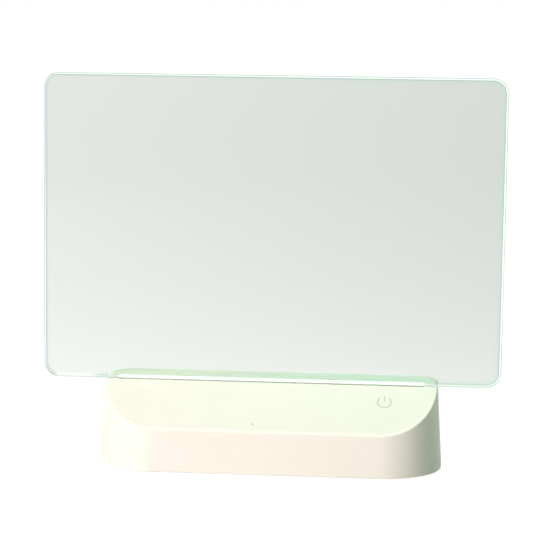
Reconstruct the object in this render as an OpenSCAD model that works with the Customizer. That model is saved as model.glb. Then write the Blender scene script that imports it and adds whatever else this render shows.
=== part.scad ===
// Edge-lit memo board: a clear writing panel that stands in the slot of a wedge-shaped base.
// Millimetres. +X right, +Y to the back, +Z up. Origin on the table, under the middle of the base.

/* [Writing panel] */
// Width of the panel
panel_w = 300; // [260:1:400]
// Height of the panel above the base
panel_h = 200; // [120:1:300]
// Thickness of the panel
panel_t = 5; // [4:0.1:6]
// Radius of the panel's corners
panel_corner_r = 10; // [3:0.5:25]
// Bevel along the panel's edges
panel_bevel = 0.6; // [0.3:0.1:1]
// Depth of the tab that goes into the slot
tab_h = 14; // [10:0.5:16]

/* [Housing] */
// Width of the base at its lower edge
base_w = 225; // [215:1:260]
// Depth of the base at its lower edge
base_d = 82; // [76:0.5:94]
// Height of the flat land behind the panel, above the lower edge
ridge_h = 53.4; // [50:0.2:62]
// Height of the front wall, above the lower edge
front_h = 27; // [24:0.2:32]
// Draft of the walls, in degrees
draft = 3.5; // [2:0.1:4.5]
// Radius of the front corners in plan
front_corner_r = 40; // [30:1:46]
// Radius of the rear corners in plan
rear_corner_r = 18; // [14:0.5:24]
// Radius along the rim, where the walls meet the top
rim_r = 1.6; // [0.8:0.1:2]
// Thickness of the side walls
wall = 2.2; // [1.8:0.1:2.8]
// Thickness of the sloping top and of the land
roof = 2.2; // [1.8:0.1:2.8]

/* [Slot] */
// Distance from the front lower edge to the panel's front face
slot_setback = 36.8; // [35:0.2:39]
// Clearance of the tab in the slot, on each face
slot_gap = 0.3; // [0.2:0.05:0.5]
// Land left between each end of the tab and the side of the base
slot_end_land = 9.2; // [9:0.2:16]
// Thickness of the walls that guide the tab
guide_t = 2; // [1.5:0.1:2.5]

/* [Cover, feet and screws] */
// Thickness of the bottom cover
cover_t = 2.5; // [2.2:0.1:3.5]
// Clearance between the cover and the housing
cover_gap = 0.25; // [0.15:0.05:0.5]
// Radius of a rubber foot
foot_r = 5; // [3:0.5:7]
// Height of a rubber foot that shows under the cover
foot_proud = 1; // [0.6:0.1:2]
// Depth of the recess that a foot is glued into
foot_recess = 1; // [0.6:0.1:1.2]
// Radius of the cover screws
cover_screw_r = 1.5; // [1.2:0.1:1.6]
// Length of the cover screws under the head
cover_screw_l = 10; // [7:0.5:12]
// Radius of the screw bosses in the housing
boss_r = 3.5; // [3:0.1:4]

/* [Light bar] */
// Thickness of the light bar's circuit board
led_board_t = 1.2; // [0.8:0.1:1.6]
// Room between the light bar's board and the foot of the tab
led_room = 3.8; // [2.5:0.1:5]
// Number of light-emitting diodes
led_count = 20; // [8:1:26]
// Thickness of the carrier under the light bar
carrier_t = 2; // [1.6:0.1:3]
// Height of the carrier's side flanges
carrier_flange = 4.6; // [3:0.1:5]

/* [Touch key] */
// Middle of the touch key, to the right of the centre line
touch_x = 75; // [40:1:78]
// Middle of the touch key, down the slope from the panel
touch_drop = 14.3; // [13:0.1:18]
// Working height of the touch spring
spring_h = 4; // [3.6:0.1:5]
// Radius of the touch spring
spring_r = 2.6; // [2:0.1:3.5]
// Radius of the spring wire
spring_wire_r = 0.25; // [0.2:0.01:0.3]

/* [Electronics] */
// Height of the stand-offs under the circuit boards
standoff_h = 4.5; // [3:0.1:6]
// Thickness of the circuit boards
board_t = 1.6; // [1:0.1:2]
// Width of the control board
control_w = 70; // [66:1:76]
// Depth of the control board
control_d = 22; // [21:0.5:24]
// Place of the charge light, to the right of the centre line
indicator_x = -8.7; // [-14:0.1:-6]
// Charge light's distance behind the front rim
indicator_in = 5.8; // [5.6:0.1:8]
// Radius of the light pipe where it shows
pipe_r = 0.6; // [0.4:0.05:0.9]
// Place of the charging socket, to the right of the centre line
usb_x = 35; // [26:0.5:60]
// Radius of the battery cell
cell_r = 9.2; // [8.8:0.1:9.4]
// Length of the battery cell
cell_l = 65; // [50:0.5:66]

/* [Hidden] */
$fn = 48;

// Shared clearances
snug = 0.05;
fit_gap = 0.2;
cut = 1;

// Levels and planes of the housing
lean = tan(draft);
stretch = 1 / cos(draft);
z_edge = foot_proud;
z_floor = z_edge + cover_t;
z_land = z_edge + ridge_h;
y_front = -base_d / 2;
y_rear = base_d / 2;
panel_y0 = y_front + slot_setback;
panel_y1 = panel_y0 + panel_t;
slot_y0 = panel_y0 - slot_gap;
slot_y1 = panel_y1 + slot_gap;
slot_mid = (slot_y0 + slot_y1) / 2;
y_rim = y_front + front_h * lean;
slope = atan((ridge_h - front_h) / (slot_y0 - y_rim));
function slope_z(y) = z_land - (slot_y0 - y) * tan(slope);
function wall_y(z) = y_rear - (z - z_edge) * lean;

// Tab, slot and the light bar under it
tab_half = base_w / 2 - ridge_h * lean - slot_end_land;
slot_end_gap = 0.4;
slot_half = tab_half + slot_end_gap;
slot_end_wall = 2;
led_top = z_land - tab_h - led_room;
led_bottom = led_top - led_board_t;
guide_z = led_top + snug * 2;
carrier_boss_r = 2.6;
carrier_screw_r = 1;
carrier_screw_l = 7;
carrier_boss_x = slot_half + slot_end_wall + carrier_boss_r - 1;
carrier_in0 = slot_y0 - guide_t - fit_gap;
carrier_in1 = slot_y1 + guide_t + fit_gap;
led_gap = 0.3;
led_half = slot_half - slot_end_wall - led_gap;
led_size = [3.5, 2.8, 0.8];
led_lead_x = led_half - 5;
led_lead_slot = [8, 5];

// Screw places on the cover: front pair, rear corners, middle of the rear wall
cover_head_r = 2.8;
cover_head_h = 1.3;
front_boss = [58, 10];
rear_boss = [14.5, 11];
mid_boss_in = 9;
boss_places = [
    [-front_boss[0], y_front + front_boss[1]], [front_boss[0], y_front + front_boss[1]],
    [-base_w / 2 + rear_boss[0], y_rear - rear_boss[1]], [base_w / 2 - rear_boss[0], y_rear - rear_boss[1]],
    [0, y_rear - mid_boss_in]];
front_foot = [33, 15];
rear_foot = [33, 15];
foot_places = [for (s = [-1, 1]) each [
    [s * (base_w / 2 - front_foot[0]), y_front + front_foot[1]],
    [s * (base_w / 2 - rear_foot[0]), y_rear - rear_foot[1]]]];

// Touch board, parallel to the slope
touch_board_t = 1;
touch_board_size = [26, 12];
touch_board_shift = -2;
touch_screw_u = 10;
touch_boss_r = 2.2;
small_screw_r = 0.9;
small_screw_l = 3.4;
small_head = [1.8, 1.2];
touch_chip_size = [4.9, 3.9, 1.5];
touch_pad = [-6, -6];

// Boards on the bottom cover
z_board = z_floor + standoff_h;
z_parts = z_board + board_t;
standoff_r = 2.4;
board_screw_r = 1;
board_screw_l = 4.8;
board_head = [1.9, 1.3];
board_inset = 3.5;
indicator_y = y_rim + indicator_in;
indicator_on_board = [15.3, 3.4];
control_origin = [indicator_x, indicator_y] - indicator_on_board;
control_holes = [for (x = [board_inset, control_w - board_inset],
                      y = [board_inset, control_d - board_inset]) control_origin + [x, y]];
socket_size = [7, 4.5, 6];
socket_x = [16, 32, 48];
socket_in = 2.5;
socket_places = [for (x = socket_x) control_origin + [x, control_d - socket_in]];
chip_row = 9;
chip_x = [30, 44, 53];
chip_sizes = [[8.7, 3.9, 1.5], [4.9, 3.9, 1.5], [6, 6, 3]];
capacitor_row = 12;
capacitor_x = [16, 60];
capacitor_size = [2.5, 7];
usb_size = [8.94, 3.26, 7.35];
usb_wall = 0.3;
usb_recess = 0.4;
usb_room = 0.33;
z_usb = z_parts + usb_size[1] / 2;
usb_mouth = wall_y(z_usb) - usb_recess;
charge_size = [28, 17.5];
usb_overhang = 2.5;
charge_origin = [usb_x - charge_size[0] / 2, usb_mouth - usb_overhang - charge_size[1]];
charge_holes = [for (x = [board_inset, charge_size[0] - board_inset]) charge_origin + [x, board_inset]];
charge_chip_places = [[7, 11], [21, 11]];
charge_chip_sizes = [[4.9, 3.9, 1.5], [4, 4, 2]];
control_pad = [18, 3];
cell_pad = [11, 3];
tongue_size = [6.7, 5.6, 0.7];

// Light pipe between the charge light and the slope
indicator_size = [3.5, 2.8, 1.9];
pipe_body_r = 1.5;
pipe_collar_r = 2.8;
pipe_collar_l = 8;
pipe_shoulder = slope_z(indicator_y) - roof / cos(slope) - pipe_body_r * tan(slope) - fit_gap;
pipe_foot = z_parts + indicator_size[2] + fit_gap;

// Battery cell, lying along X at the rear
cell_from_side = 96.5;
cell_end_x = cell_from_side - base_w / 2;
cell_in = 13.6;
pad_t = 1;
saddle_base = 1;
saddle_w = 4;
saddle_d = 16;
saddle_h = 6;
saddle_in = 12;
tab_t = 0.2;
guard_t = 1.2;
cell_y = y_rear - cell_in;
cell_z = z_floor + saddle_base + pad_t + cell_r + snug;
saddle_x = [cell_end_x - cell_l + saddle_in, cell_end_x - saddle_in];
stop_t = 1.5;
stop_h = 11;
stop_gap = 0.5;
tab_side = 6;
guard_in = 0.6;
cell_lead = [-2, 3];

// Helpers for lofted solids. A ring is counter-clockwise, seen from the last ring's side.
function loft_sides(n, rings) = [for (j = [0:rings - 2], i = [0:n - 1])
    let (a = j * n + i, b = j * n + (i + 1) % n) each [[a, a + n, b + n], [a, b + n, b]]];
function ring_up(n) = [for (i = [0:n - 1]) i];
function turned(loop, first) = [for (i = [len(loop) - 1:-1:0]) first + loop[i]];
function arc(c, r, a0, a1, n) = [for (i = [0:n]) let (a = a0 + (a1 - a0) * i / n) c + r * [cos(a), sin(a)]];
function flip(p) = [for (i = [len(p) - 1:-1:0]) [-p[i][0], p[i][1]]];

// Solid through a list of rings. The end caps are split into the convex loops given in caps.
module loft(rings, caps) {
    n = len(rings[0]);
    points = [for (r = rings) each r];
    polyhedron(points, concat(caps, loft_sides(n, len(rings)),
                              [for (c = caps) turned(c, n * (len(rings) - 1))]), convexity = 6);
}

// Half of the base's plan, from the middle of the front round the right side to the middle of the back,
// as [x, y, inward x, inward y]. One vertex lies on the ridge once it is inset by s_ridge.
front_steps = 14;
rear_steps = 7;
function plan_arc(c, r, a0, a1, n) = [for (i = [0:n]) let (a = a0 + (a1 - a0) * i / n)
    [c[0] + r * cos(a), c[1] + r * sin(a), -cos(a), -sin(a)]];
function ridge_on_arc(ridge) = ridge < y_front + front_corner_r - 0.01;
function half_plan(k, ridge, s_ridge) =
    let (w = base_w / 2 - k, rf = front_corner_r - k, rr = rear_corner_r - k,
         cf = [base_w / 2 - front_corner_r, y_front + front_corner_r],
         cr = [base_w / 2 - rear_corner_r, y_rear - rear_corner_r],
         bend = ridge_on_arc(ridge) ? asin((cf[1] - ridge) / (rf - s_ridge)) : 0)
    concat(plan_arc(cf, rf, -90, -bend, front_steps),
           [ridge_on_arc(ridge) ? [w, cf[1], -1, 0] : [w, ridge, -1, 0]],
           plan_arc(cr, rr, 0, 90, rear_steps));
function mirrored(p) = [for (i = [len(p) - 1:-1:0]) [-p[i][0], p[i][1], -p[i][2], p[i][3]]];

// Section of the wall at one place of the plan: up the drafted wall and round the rim onto the top,
// as [inset, height]. top is the height of the top above the lower edge, rise is the top's slope inwards.
function wall_section(top, rise, r, steps, below) =
    let (k = sqrt(1 + rise * rise),
         zc = (top + r * (rise * stretch - k)) / (1 - rise * lean),
         sc = lean * zc + r * stretch,
         a0 = 180 - draft, a1 = 90 + atan(rise))
    concat([[-below * lean, -below]],
           [for (j = [0:steps]) let (a = a0 + (a1 - a0) * j / steps) [sc + r * cos(a), zc + r * sin(a)]]);

// The wedge itself: drafted walls, a sloping top in front of the ridge and a level land behind it.
// inset and drop bring its walls and its top inwards, so the same form gives the skin and the cavity.
module wedge(inset, drop, rim, steps, below) {
    h = ridge_h - drop;
    ridge = slot_y0 + drop * tan(slope / 2);
    half = half_plan(inset, ridge, lean * (h - rim) + rim * stretch);
    plan = concat(half, mirrored(half));
    n = len(plan);
    at = ridge_on_arc(ridge) ? front_steps : front_steps + 1;
    sections = [for (i = [0:n - 1]) let (p = plan[i], level = i >= at && i <= n - 1 - at)
        wall_section(level ? h : h - (ridge - p[1]) * tan(slope), level ? 0 : tan(slope) * p[3],
                     rim, steps, below)];
    points = [for (j = [0:steps + 1], i = [0:n - 1]) let (p = plan[i], q = sections[i][j])
        [p[0] + p[2] * q[0], p[1] + p[3] * q[0], z_edge + q[1]]];
    last = n * (steps + 1);
    land = [for (i = [n - 1 - at:-1:at]) last + i];
    incline = concat([for (i = [at:-1:0]) last + i], [for (i = [n - 1:-1:n - 1 - at]) last + i]);
    polyhedron(points, concat([ring_up(n)], loft_sides(n, steps + 2), [land, incline]), convexity = 6);
}

// Frame on the slope: x to the right, y up the slope, z out of the surface, zero at the touch key
module on_slope() {
    translate([touch_x, slot_y0, z_land]) rotate([slope, 0, 0]) translate([0, -touch_drop, 0]) children();
}
function slope_point(p) = let (y = p[1] - touch_drop)
    [touch_x + p[0], slot_y0, z_land]
    + [0, y * cos(slope) - p[2] * sin(slope), y * sin(slope) + p[2] * cos(slope)];

// Screw with its head below z = 0 and its shank above, with a cross recess in the head
module screw(r, l, head) {
    recess = [head[0] * 1.1, head[0] * 0.28, head[1] * 0.6];
    difference() {
        union() {
            translate([0, 0, -head[1]]) cylinder(r1 = head[0] * 0.8, r2 = head[0], h = head[1] / 2);
            translate([0, 0, -head[1] / 2]) cylinder(r = head[0], h = head[1] / 2);
            translate([0, 0, -head[1] / 4]) cylinder(r = r, h = l + head[1] / 4);
        }
        for (turn = [0, 90]) translate([0, 0, -head[1] + recess[2] / 2]) rotate([0, 0, turn])
            cube(recess, center = true);
    }
}

module rounded_slab(size, r, h) {
    x = size[0] / 2 - r;
    y = size[1] / 2 - r;
    steps = 6;
    linear_extrude(h) polygon(concat(arc([x, y], r, 0, 90, steps), arc([-x, y], r, 90, 180, steps),
                                     arc([-x, -y], r, 180, 270, steps), arc([x, -y], r, 270, 360, steps)));
}

// Insulated wire swept along hand-chosen points, each as [x, distance from the front or rear edge, z]
wire_r = 0.6;
wire_sides = 8;
wire_spread = 2.4;
wire_stub = 3;
led_route = [[80, 35, 20], [54, 29, 20]];
touch_route = [[54, 26, 28], [22, 25, 27]];
charge_route = [[24, 30, 18], [4, 30, 20]];
battery_route = [[0, 20, 19], [12, 21, 19]];
function from_front(p) = [p[0], y_front + p[1], p[2]];
function from_rear(p) = [p[0], y_rear - p[1], p[2]];
function smooth(p, k) = concat([for (i = [0:len(p) - 2], j = [0:k - 1])
    let (t = j / k, a = p[max(i - 1, 0)], b = p[i], c = p[i + 1], d = p[min(i + 2, len(p) - 1)])
    (2 * b + (c - a) * t + (2 * a - 5 * b + 4 * c - d) * t * t + (3 * b - 3 * c + d - a) * t * t * t) / 2],
    [p[len(p) - 1]]);
function unit(v) = v / norm(v);
function along(p) = [for (i = [0:len(p) - 1]) unit(p[min(i + 1, len(p) - 1)] - p[max(i - 1, 0)])];
function square_to(v, t) = unit(v - (v * t) * t);
function carried(t, v) = [for (i = 0, u = square_to(v, t[0]); i < len(t); i = i + 1,
                               u = i < len(t) ? square_to(u, t[i]) : u) u];

module tube(path, r, sides, side = [0, 1, 0]) {
    t = along(path);
    u = carried(t, side);
    loft([for (i = [0:len(path) - 1]) let (v = cross(t[i], u[i]))
        [for (j = [0:sides - 1]) let (a = 360 * j / sides) path[i] + r * (u[i] * cos(a) + v * sin(a))]],
        [ring_up(sides)]);
}

// A route's first and last stretch are straight, so the wire meets what it is soldered to squarely
module wire(route) {
    last = len(route) - 1;
    inner = [for (i = [1:last - 1]) route[i]];
    tube(concat([route[0]], smooth(inner, 4), [route[last]]), wire_r, wire_sides);
}

module wire_pair(route, spread) {
    for (s = [-1, 1]) wire([for (p = route) p + s * spread / 2]);
}

// Clear sheet with round corners and bevelled edges. Its tab drops into the slot, and its shoulders
// sit on the land at both ends of the slot.
function panel_outline(k) =
    let (w = panel_w / 2 - panel_corner_r, r = panel_corner_r - k, steps = 10, t = tab_half - k,
         low = z_land + panel_corner_r, high = z_land + panel_h - panel_corner_r,
         right = concat([[t, z_land - tab_h + k], [t, z_land + k]],
                        arc([w, low], r, -90, 0, steps), arc([w, high], r, 0, 90, steps)))
    concat(right, flip(right));

module acrylic_panel() {
    levels = [[panel_y1, panel_bevel], [panel_y1 - panel_bevel, 0], [panel_y0 + panel_bevel, 0],
              [panel_y0, panel_bevel]];
    n = len(panel_outline(0));
    top = n / 2;
    sheet = concat([for (i = [top:n - 2]) i], [for (i = [1:top - 1]) i]);
    tab = [n - 1, 0, 1, n - 2];
    color("honeydew", 0.4)
        loft([for (l = levels) [for (p = panel_outline(l[1])) [p[0], l[0], p[1]]]], [sheet, tab]);
}

// Moulded upper shell: drafted wedge skin, slot with guide walls, screw bosses and the socket's opening
module upper_housing() {
    color("ivory") difference() {
        union() {
            difference() {
                wedge(0, 0, rim_r, 5, 0);
                wedge(wall * stretch, roof, 0.4, 1, cut);
            }
            intersection() {
                wedge(wall * stretch / 2, roof / 2, 0.4, 1, 0);
                housing_ribs();
            }
            touch_bosses();
        }
        translate([-slot_half, slot_y0, guide_z - cut])
            cube([2 * slot_half, slot_y1 - slot_y0, z_land - guide_z + 2 * cut]);
        for (p = boss_places) translate([p[0], p[1], z_floor - cut])
            cylinder(r = cover_screw_r + snug, h = cover_screw_l + cut);
        for (s = [-1, 1]) translate([s * carrier_boss_x, slot_mid, led_bottom - cut])
            cylinder(r = carrier_screw_r + snug, h = carrier_screw_l + cut);
        translate([indicator_x, indicator_y, 0]) {
            cylinder(r = pipe_body_r + snug, h = pipe_shoulder);
            cylinder(r = pipe_r + snug, h = z_land);
        }
        translate([usb_x, y_rear + cut, z_usb]) rotate([90, 0, 0])
            rounded_slab([usb_size[0] + 2 * usb_room, usb_size[1] + 2 * usb_room], usb_size[1] / 2,
                         usb_size[2]);
    }
}

module housing_ribs() {
    guide_d = slot_y1 - slot_y0 + 2 * guide_t;
    for (p = boss_places) translate([p[0], p[1], z_floor]) cylinder(r = boss_r, h = ridge_h);
    translate([-slot_half - slot_end_wall, slot_y0 - guide_t, guide_z])
        cube([2 * (slot_half + slot_end_wall), guide_d, ridge_h]);
    for (s = [-1, 1]) translate([s * carrier_boss_x, slot_mid, led_bottom])
        cylinder(r = carrier_boss_r, h = ridge_h);
    translate([indicator_x, indicator_y, pipe_shoulder - pipe_collar_l])
        cylinder(r = pipe_collar_r, h = ridge_h);
}

module touch_bosses() {
    for (s = [-1, 1]) on_slope() translate([s * touch_screw_u, 0, -roof - spring_h]) difference() {
        cylinder(r = touch_boss_r, h = roof / 2 + spring_h);
        translate([0, 0, -cut]) cylinder(r = small_screw_r + snug, h = small_screw_l);
    }
}

// Bottom cover: plate inside the housing's lower edge, with screw and foot recesses, stand-offs for the
// two boards and a cradle for the cell
module bottom_cover() {
    inset = wall * stretch + cover_t * lean + cover_gap;
    half = half_plan(inset, slot_y0, 0);
    color("whitesmoke") difference() {
        union() {
            translate([0, 0, z_edge]) linear_extrude(cover_t)
                polygon([for (p = concat(half, mirrored(half))) [p[0], p[1]]]);
            for (p = concat(control_holes, charge_holes)) translate([p[0], p[1], z_floor - snug])
                cylinder(r = standoff_r, h = standoff_h + snug);
            battery_cradle();
        }
        for (p = boss_places) translate([p[0], p[1], 0]) {
            cylinder(r = cover_screw_r + fit_gap, h = z_floor + cut);
            cylinder(r = cover_head_r + fit_gap, h = z_edge + cover_head_h + fit_gap);
        }
        for (p = foot_places) translate([p[0], p[1], 0])
            cylinder(r = foot_r + fit_gap, h = z_edge + foot_recess);
        for (p = concat(control_holes, charge_holes))
            translate([p[0], p[1], z_board - board_screw_l + board_t - fit_gap])
                cylinder(r = board_screw_r + snug, h = board_screw_l);
    }
}

module battery_cradle() {
    for (x = saddle_x) difference() {
        translate([x - saddle_w / 2, cell_y - saddle_d / 2, z_floor - snug])
            cube([saddle_w, saddle_d, saddle_h + snug]);
        translate([x - saddle_w, cell_y, cell_z]) rotate([0, 90, 0])
            cylinder(r = cell_r + pad_t + 2 * snug, h = 2 * saddle_w);
    }
    for (x = [cell_end_x - cell_l - tab_t - stop_gap - stop_t, cell_end_x + tab_t + guard_t + stop_gap])
        translate([x, cell_y - saddle_d / 4, z_floor - snug]) cube([stop_t, saddle_d / 2, stop_h + snug]);
}

module cover_screws() {
    color("dimgray") for (p = boss_places) translate([p[0], p[1], z_edge + cover_head_h + fit_gap])
        screw(cover_screw_r, cover_screw_l, [cover_head_r, cover_head_h]);
}

// Round pads with a bevelled lower edge, glued into the cover's recesses
module rubber_feet() {
    bevel = foot_proud * 0.6;
    color("darkslategray") for (p = foot_places) translate([p[0], p[1], 0])
        rotate_extrude() polygon([[0, 0], [foot_r - bevel, 0], [foot_r, bevel],
                                  [foot_r, z_edge + foot_recess], [0, z_edge + foot_recess]]);
}

// Channel that closes the slot from below and holds the light bar against the guide walls, with a round
// screw ear at each end
module led_carrier() {
    half = slot_half + slot_end_wall;
    d = carrier_in1 - carrier_in0 + 2 * carrier_t;
    color("gainsboro") difference() {
        union() {
            translate([-half, carrier_in0 - carrier_t, led_bottom - carrier_t])
                cube([2 * half, d, carrier_t + carrier_flange]);
            translate([-carrier_boss_x, slot_mid - carrier_boss_r, led_bottom - carrier_t])
                cube([2 * carrier_boss_x, 2 * carrier_boss_r, carrier_t]);
            for (s = [-1, 1]) translate([s * carrier_boss_x, slot_mid, led_bottom - carrier_t])
                cylinder(r = carrier_boss_r, h = carrier_t);
        }
        translate([-half - cut, carrier_in0, led_bottom])
            cube([2 * half + 2 * cut, carrier_in1 - carrier_in0, carrier_flange + cut]);
        for (s = [-1, 1]) translate([s * carrier_boss_x, slot_mid, led_bottom - carrier_t - cut])
            cylinder(r = carrier_screw_r + fit_gap, h = carrier_t + 2 * cut);
        translate([led_lead_x - led_lead_slot[0] / 2, slot_mid - led_lead_slot[1] / 2,
                   led_bottom - carrier_t - cut])
            cube([led_lead_slot[0], led_lead_slot[1], carrier_t + 2 * cut]);
        touch_room();
    }
}

// Room in the carrier for the touch board and what is on it, which a steeper slope brings closer
module touch_room() {
    around = [2, 2] * fit_gap;
    board = touch_board_size + around;
    chip = [touch_chip_size[0], touch_chip_size[1]] + around;
    on_slope() translate([0, 0, -roof - spring_h - touch_board_t]) {
        translate([-board[0] / 2, touch_board_shift - board[1] / 2, -fit_gap])
            cube([board[0], board[1], touch_board_t + 2 * fit_gap]);
        translate([-chip[0] / 2, touch_board_shift - chip[1] / 2, -touch_chip_size[2] - fit_gap])
            cube([chip[0], chip[1], touch_chip_size[2] + fit_gap]);
        for (s = [-1, 1]) translate([s * touch_screw_u, 0, -small_head[1] - fit_gap])
            cylinder(r = small_head[0] + fit_gap, h = small_head[1] + fit_gap);
    }
}

module carrier_screws() {
    color("silver") for (s = [-1, 1]) translate([s * carrier_boss_x, slot_mid, led_bottom - carrier_t])
        screw(carrier_screw_r, carrier_screw_l, small_head);
}

module led_board() {
    color("white") translate([-led_half, carrier_in0 + led_gap, led_bottom])
        cube([2 * led_half, carrier_in1 - carrier_in0 - 2 * led_gap, led_board_t]);
}

module leds() {
    pitch = 2 * led_half / led_count;
    color("lightyellow") for (i = [0:led_count - 1])
        translate([-led_half + (i + 0.5) * pitch - led_size[0] / 2, slot_mid - led_size[1] / 2, led_top])
            cube(led_size);
}

module led_leads() {
    s = socket_places[2];
    color("firebrick") wire_pair([[led_lead_x, slot_mid, led_bottom],
        [led_lead_x, slot_mid, led_bottom - carrier_t - wire_stub],
        from_front(led_route[0]), from_front(led_route[1]),
        [s[0], s[1], z_parts + socket_size[2] + wire_stub],
        [s[0], s[1], z_parts + socket_size[2]]], [0, wire_spread, 0]);
}

module touch_board() {
    size = touch_board_size;
    color("seagreen") on_slope() difference() {
        translate([-size[0] / 2, -size[1] / 2 + touch_board_shift, -roof - spring_h - touch_board_t])
            cube([size[0], size[1], touch_board_t]);
        for (s = [-1, 1]) translate([s * touch_screw_u, 0, -roof - spring_h - touch_board_t - cut])
            cylinder(r = small_screw_r + fit_gap, h = touch_board_t + 2 * cut);
    }
}

module touch_chip() {
    size = touch_chip_size;
    color("black") on_slope() translate([-size[0] / 2, touch_board_shift - size[1] / 2,
                                         -roof - spring_h - touch_board_t - size[2]]) cube(size);
}

// Coil that carries the touch signal from the board to the underside of the slope
spring_turns = 3;
spring_steps = 8;
spring_path = [for (i = [0:spring_turns * spring_steps])
    let (a = 360 * i / spring_steps, rise = spring_h - 2 * spring_wire_r - 2 * snug)
    [spring_r * cos(a), spring_r * sin(a),
     -roof - spring_h + spring_wire_r + snug + rise * i / (spring_turns * spring_steps)]];
spring_gap = min([for (i = [0:len(spring_path) - 1], j = [0:len(spring_path) - 1])
    if (j - i > spring_steps / 2) norm(spring_path[i] - spring_path[j])]) - 2 * spring_wire_r;
echo(spring_gap = spring_gap);

module touch_spring() {
    color("gold") on_slope() tube(spring_path, spring_wire_r, 6, [1, 0, 0]);
}

module touch_screws() {
    color("silver") for (s = [-1, 1])
        on_slope() translate([s * touch_screw_u, 0, -roof - spring_h - touch_board_t])
            screw(small_screw_r, small_screw_l, small_head);
}

module touch_leads() {
    s = socket_places[1];
    start = -roof - spring_h - touch_board_t;
    socket_top = z_parts + socket_size[2];
    color("goldenrod") for (d = [-wire_spread, wire_spread] / 2)
        wire([slope_point([touch_pad[0], touch_pad[1] + d, start]),
              slope_point([touch_pad[0], touch_pad[1] + d, start - wire_stub]),
              from_front(touch_route[0]) + [0, d, 0], from_front(touch_route[1]) + [0, d, 0],
              [s[0], s[1] + d, socket_top + wire_stub], [s[0], s[1] + d, socket_top]]);
}

module board_with_holes(origin, size, holes) {
    difference() {
        translate([origin[0], origin[1], z_board]) cube([size[0], size[1], board_t]);
        for (p = holes) translate([p[0], p[1], z_board - cut])
            cylinder(r = board_screw_r + fit_gap, h = board_t + 2 * cut);
    }
}

module board_screws(holes) {
    for (p = holes) translate([p[0], p[1], z_parts]) rotate([180, 0, 0])
        screw(board_screw_r, board_screw_l - fit_gap - snug, board_head);
}

module chip(p, size) {
    translate([p[0] - size[0] / 2, p[1] - size[1] / 2, z_parts]) cube(size);
}

module control_board() {
    color("darkgreen") board_with_holes(control_origin, [control_w, control_d], control_holes);
}

module control_chips() {
    color("black") for (i = [0:len(chip_x) - 1])
        chip(control_origin + [chip_x[i], chip_row], chip_sizes[i]);
}

module control_capacitors() {
    color("slategray") for (x = capacitor_x)
        translate([control_origin[0] + x, control_origin[1] + capacitor_row, z_parts])
            cylinder(r = capacitor_size[0], h = capacitor_size[1]);
}

module control_screws() {
    color("silver") board_screws(control_holes);
}

module wire_sockets() {
    color("white") for (p = socket_places) chip(p, socket_size);
}

module indicator_led() {
    color("lightyellow") chip([indicator_x, indicator_y], indicator_size);
}

// Clear pin that brings the charge light up to the slope, cut flush with it
module light_pipe() {
    color("aliceblue") translate([indicator_x, indicator_y, 0]) difference() {
        union() {
            translate([0, 0, pipe_foot]) cylinder(r = pipe_body_r, h = pipe_shoulder - snug - pipe_foot);
            translate([0, 0, pipe_foot]) cylinder(r = pipe_r, h = z_land - pipe_foot);
        }
        translate([0, 0, slope_z(indicator_y)]) rotate([slope, 0, 0])
            translate([-base_d / 2, -base_d / 2, 0]) cube(base_d);
    }
}

module charge_board() {
    color("navy") board_with_holes(charge_origin, charge_size, charge_holes);
}

module charge_chips() {
    color("black") for (i = [0:len(charge_chip_sizes) - 1])
        chip(charge_origin + charge_chip_places[i], charge_chip_sizes[i]);
}

module charge_screws() {
    color("silver") board_screws(charge_holes);
}

// Charging socket: rounded metal sleeve with a closed back, and the tongue inside it
module usb_shell() {
    inner = [usb_size[0] - 2 * usb_wall, usb_size[1] - 2 * usb_wall];
    color("silver") translate([usb_x, usb_mouth, z_usb]) rotate([90, 0, 0]) difference() {
        rounded_slab([usb_size[0], usb_size[1]], usb_size[1] / 2 - 0.1, usb_size[2]);
        translate([0, 0, -cut]) rounded_slab(inner, inner[1] / 2 - 0.1, usb_size[2] - usb_wall + cut);
    }
}

module usb_tongue() {
    color("black") translate([usb_x, usb_mouth - usb_size[2] + usb_wall, z_usb])
        translate([-tongue_size[0] / 2, 0, -tongue_size[2] / 2]) cube(tongue_size);
}

module charge_leads() {
    s = socket_places[0];
    p = charge_origin + control_pad;
    color("orangered") wire_pair([[p[0], p[1], z_parts], [p[0], p[1], z_parts + wire_stub],
        from_rear(charge_route[0]), from_front(charge_route[1]),
        [s[0], s[1], z_parts + socket_size[2] + wire_stub], [s[0], s[1], z_parts + socket_size[2]]],
        [wire_spread / 2, -wire_spread, 0]);
}

module battery_cell() {
    color("royalblue") translate([cell_end_x, cell_y, cell_z]) rotate([0, -90, 0])
        cylinder(r = cell_r, h = cell_l);
}

module battery_tabs() {
    color("silver") for (x = [cell_end_x - cell_l - tab_t, cell_end_x])
        translate([x, cell_y - tab_side / 2, cell_z - tab_side / 2]) cube([tab_t, tab_side, tab_side]);
}

module battery_guard_board() {
    color("darkgreen") translate([cell_end_x + tab_t, cell_y, cell_z]) rotate([0, 90, 0])
        cylinder(r = cell_r - guard_in, h = guard_t);
}

// Curved foam strips between the cell and its saddles
module battery_pads() {
    spread = 84;
    color("dimgray") for (x = saddle_x) translate([x - saddle_w / 2, cell_y, cell_z])
        rotate([0, 90, 0]) rotate([0, 0, -spread / 2]) rotate_extrude(angle = spread)
            translate([cell_r + snug, 0]) square([pad_t, saddle_w]);
}

module battery_leads() {
    start = [cell_end_x + tab_t + guard_t, cell_y + cell_lead[0], cell_z + cell_lead[1]];
    p = charge_origin + cell_pad;
    color("crimson") wire_pair([start, start + [wire_stub, 0, 0],
        from_rear(battery_route[0]), from_rear(battery_route[1]),
        [p[0], p[1], z_parts + wire_stub], [p[0], p[1], z_parts]], [0, wire_spread, 0]);
}

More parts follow.
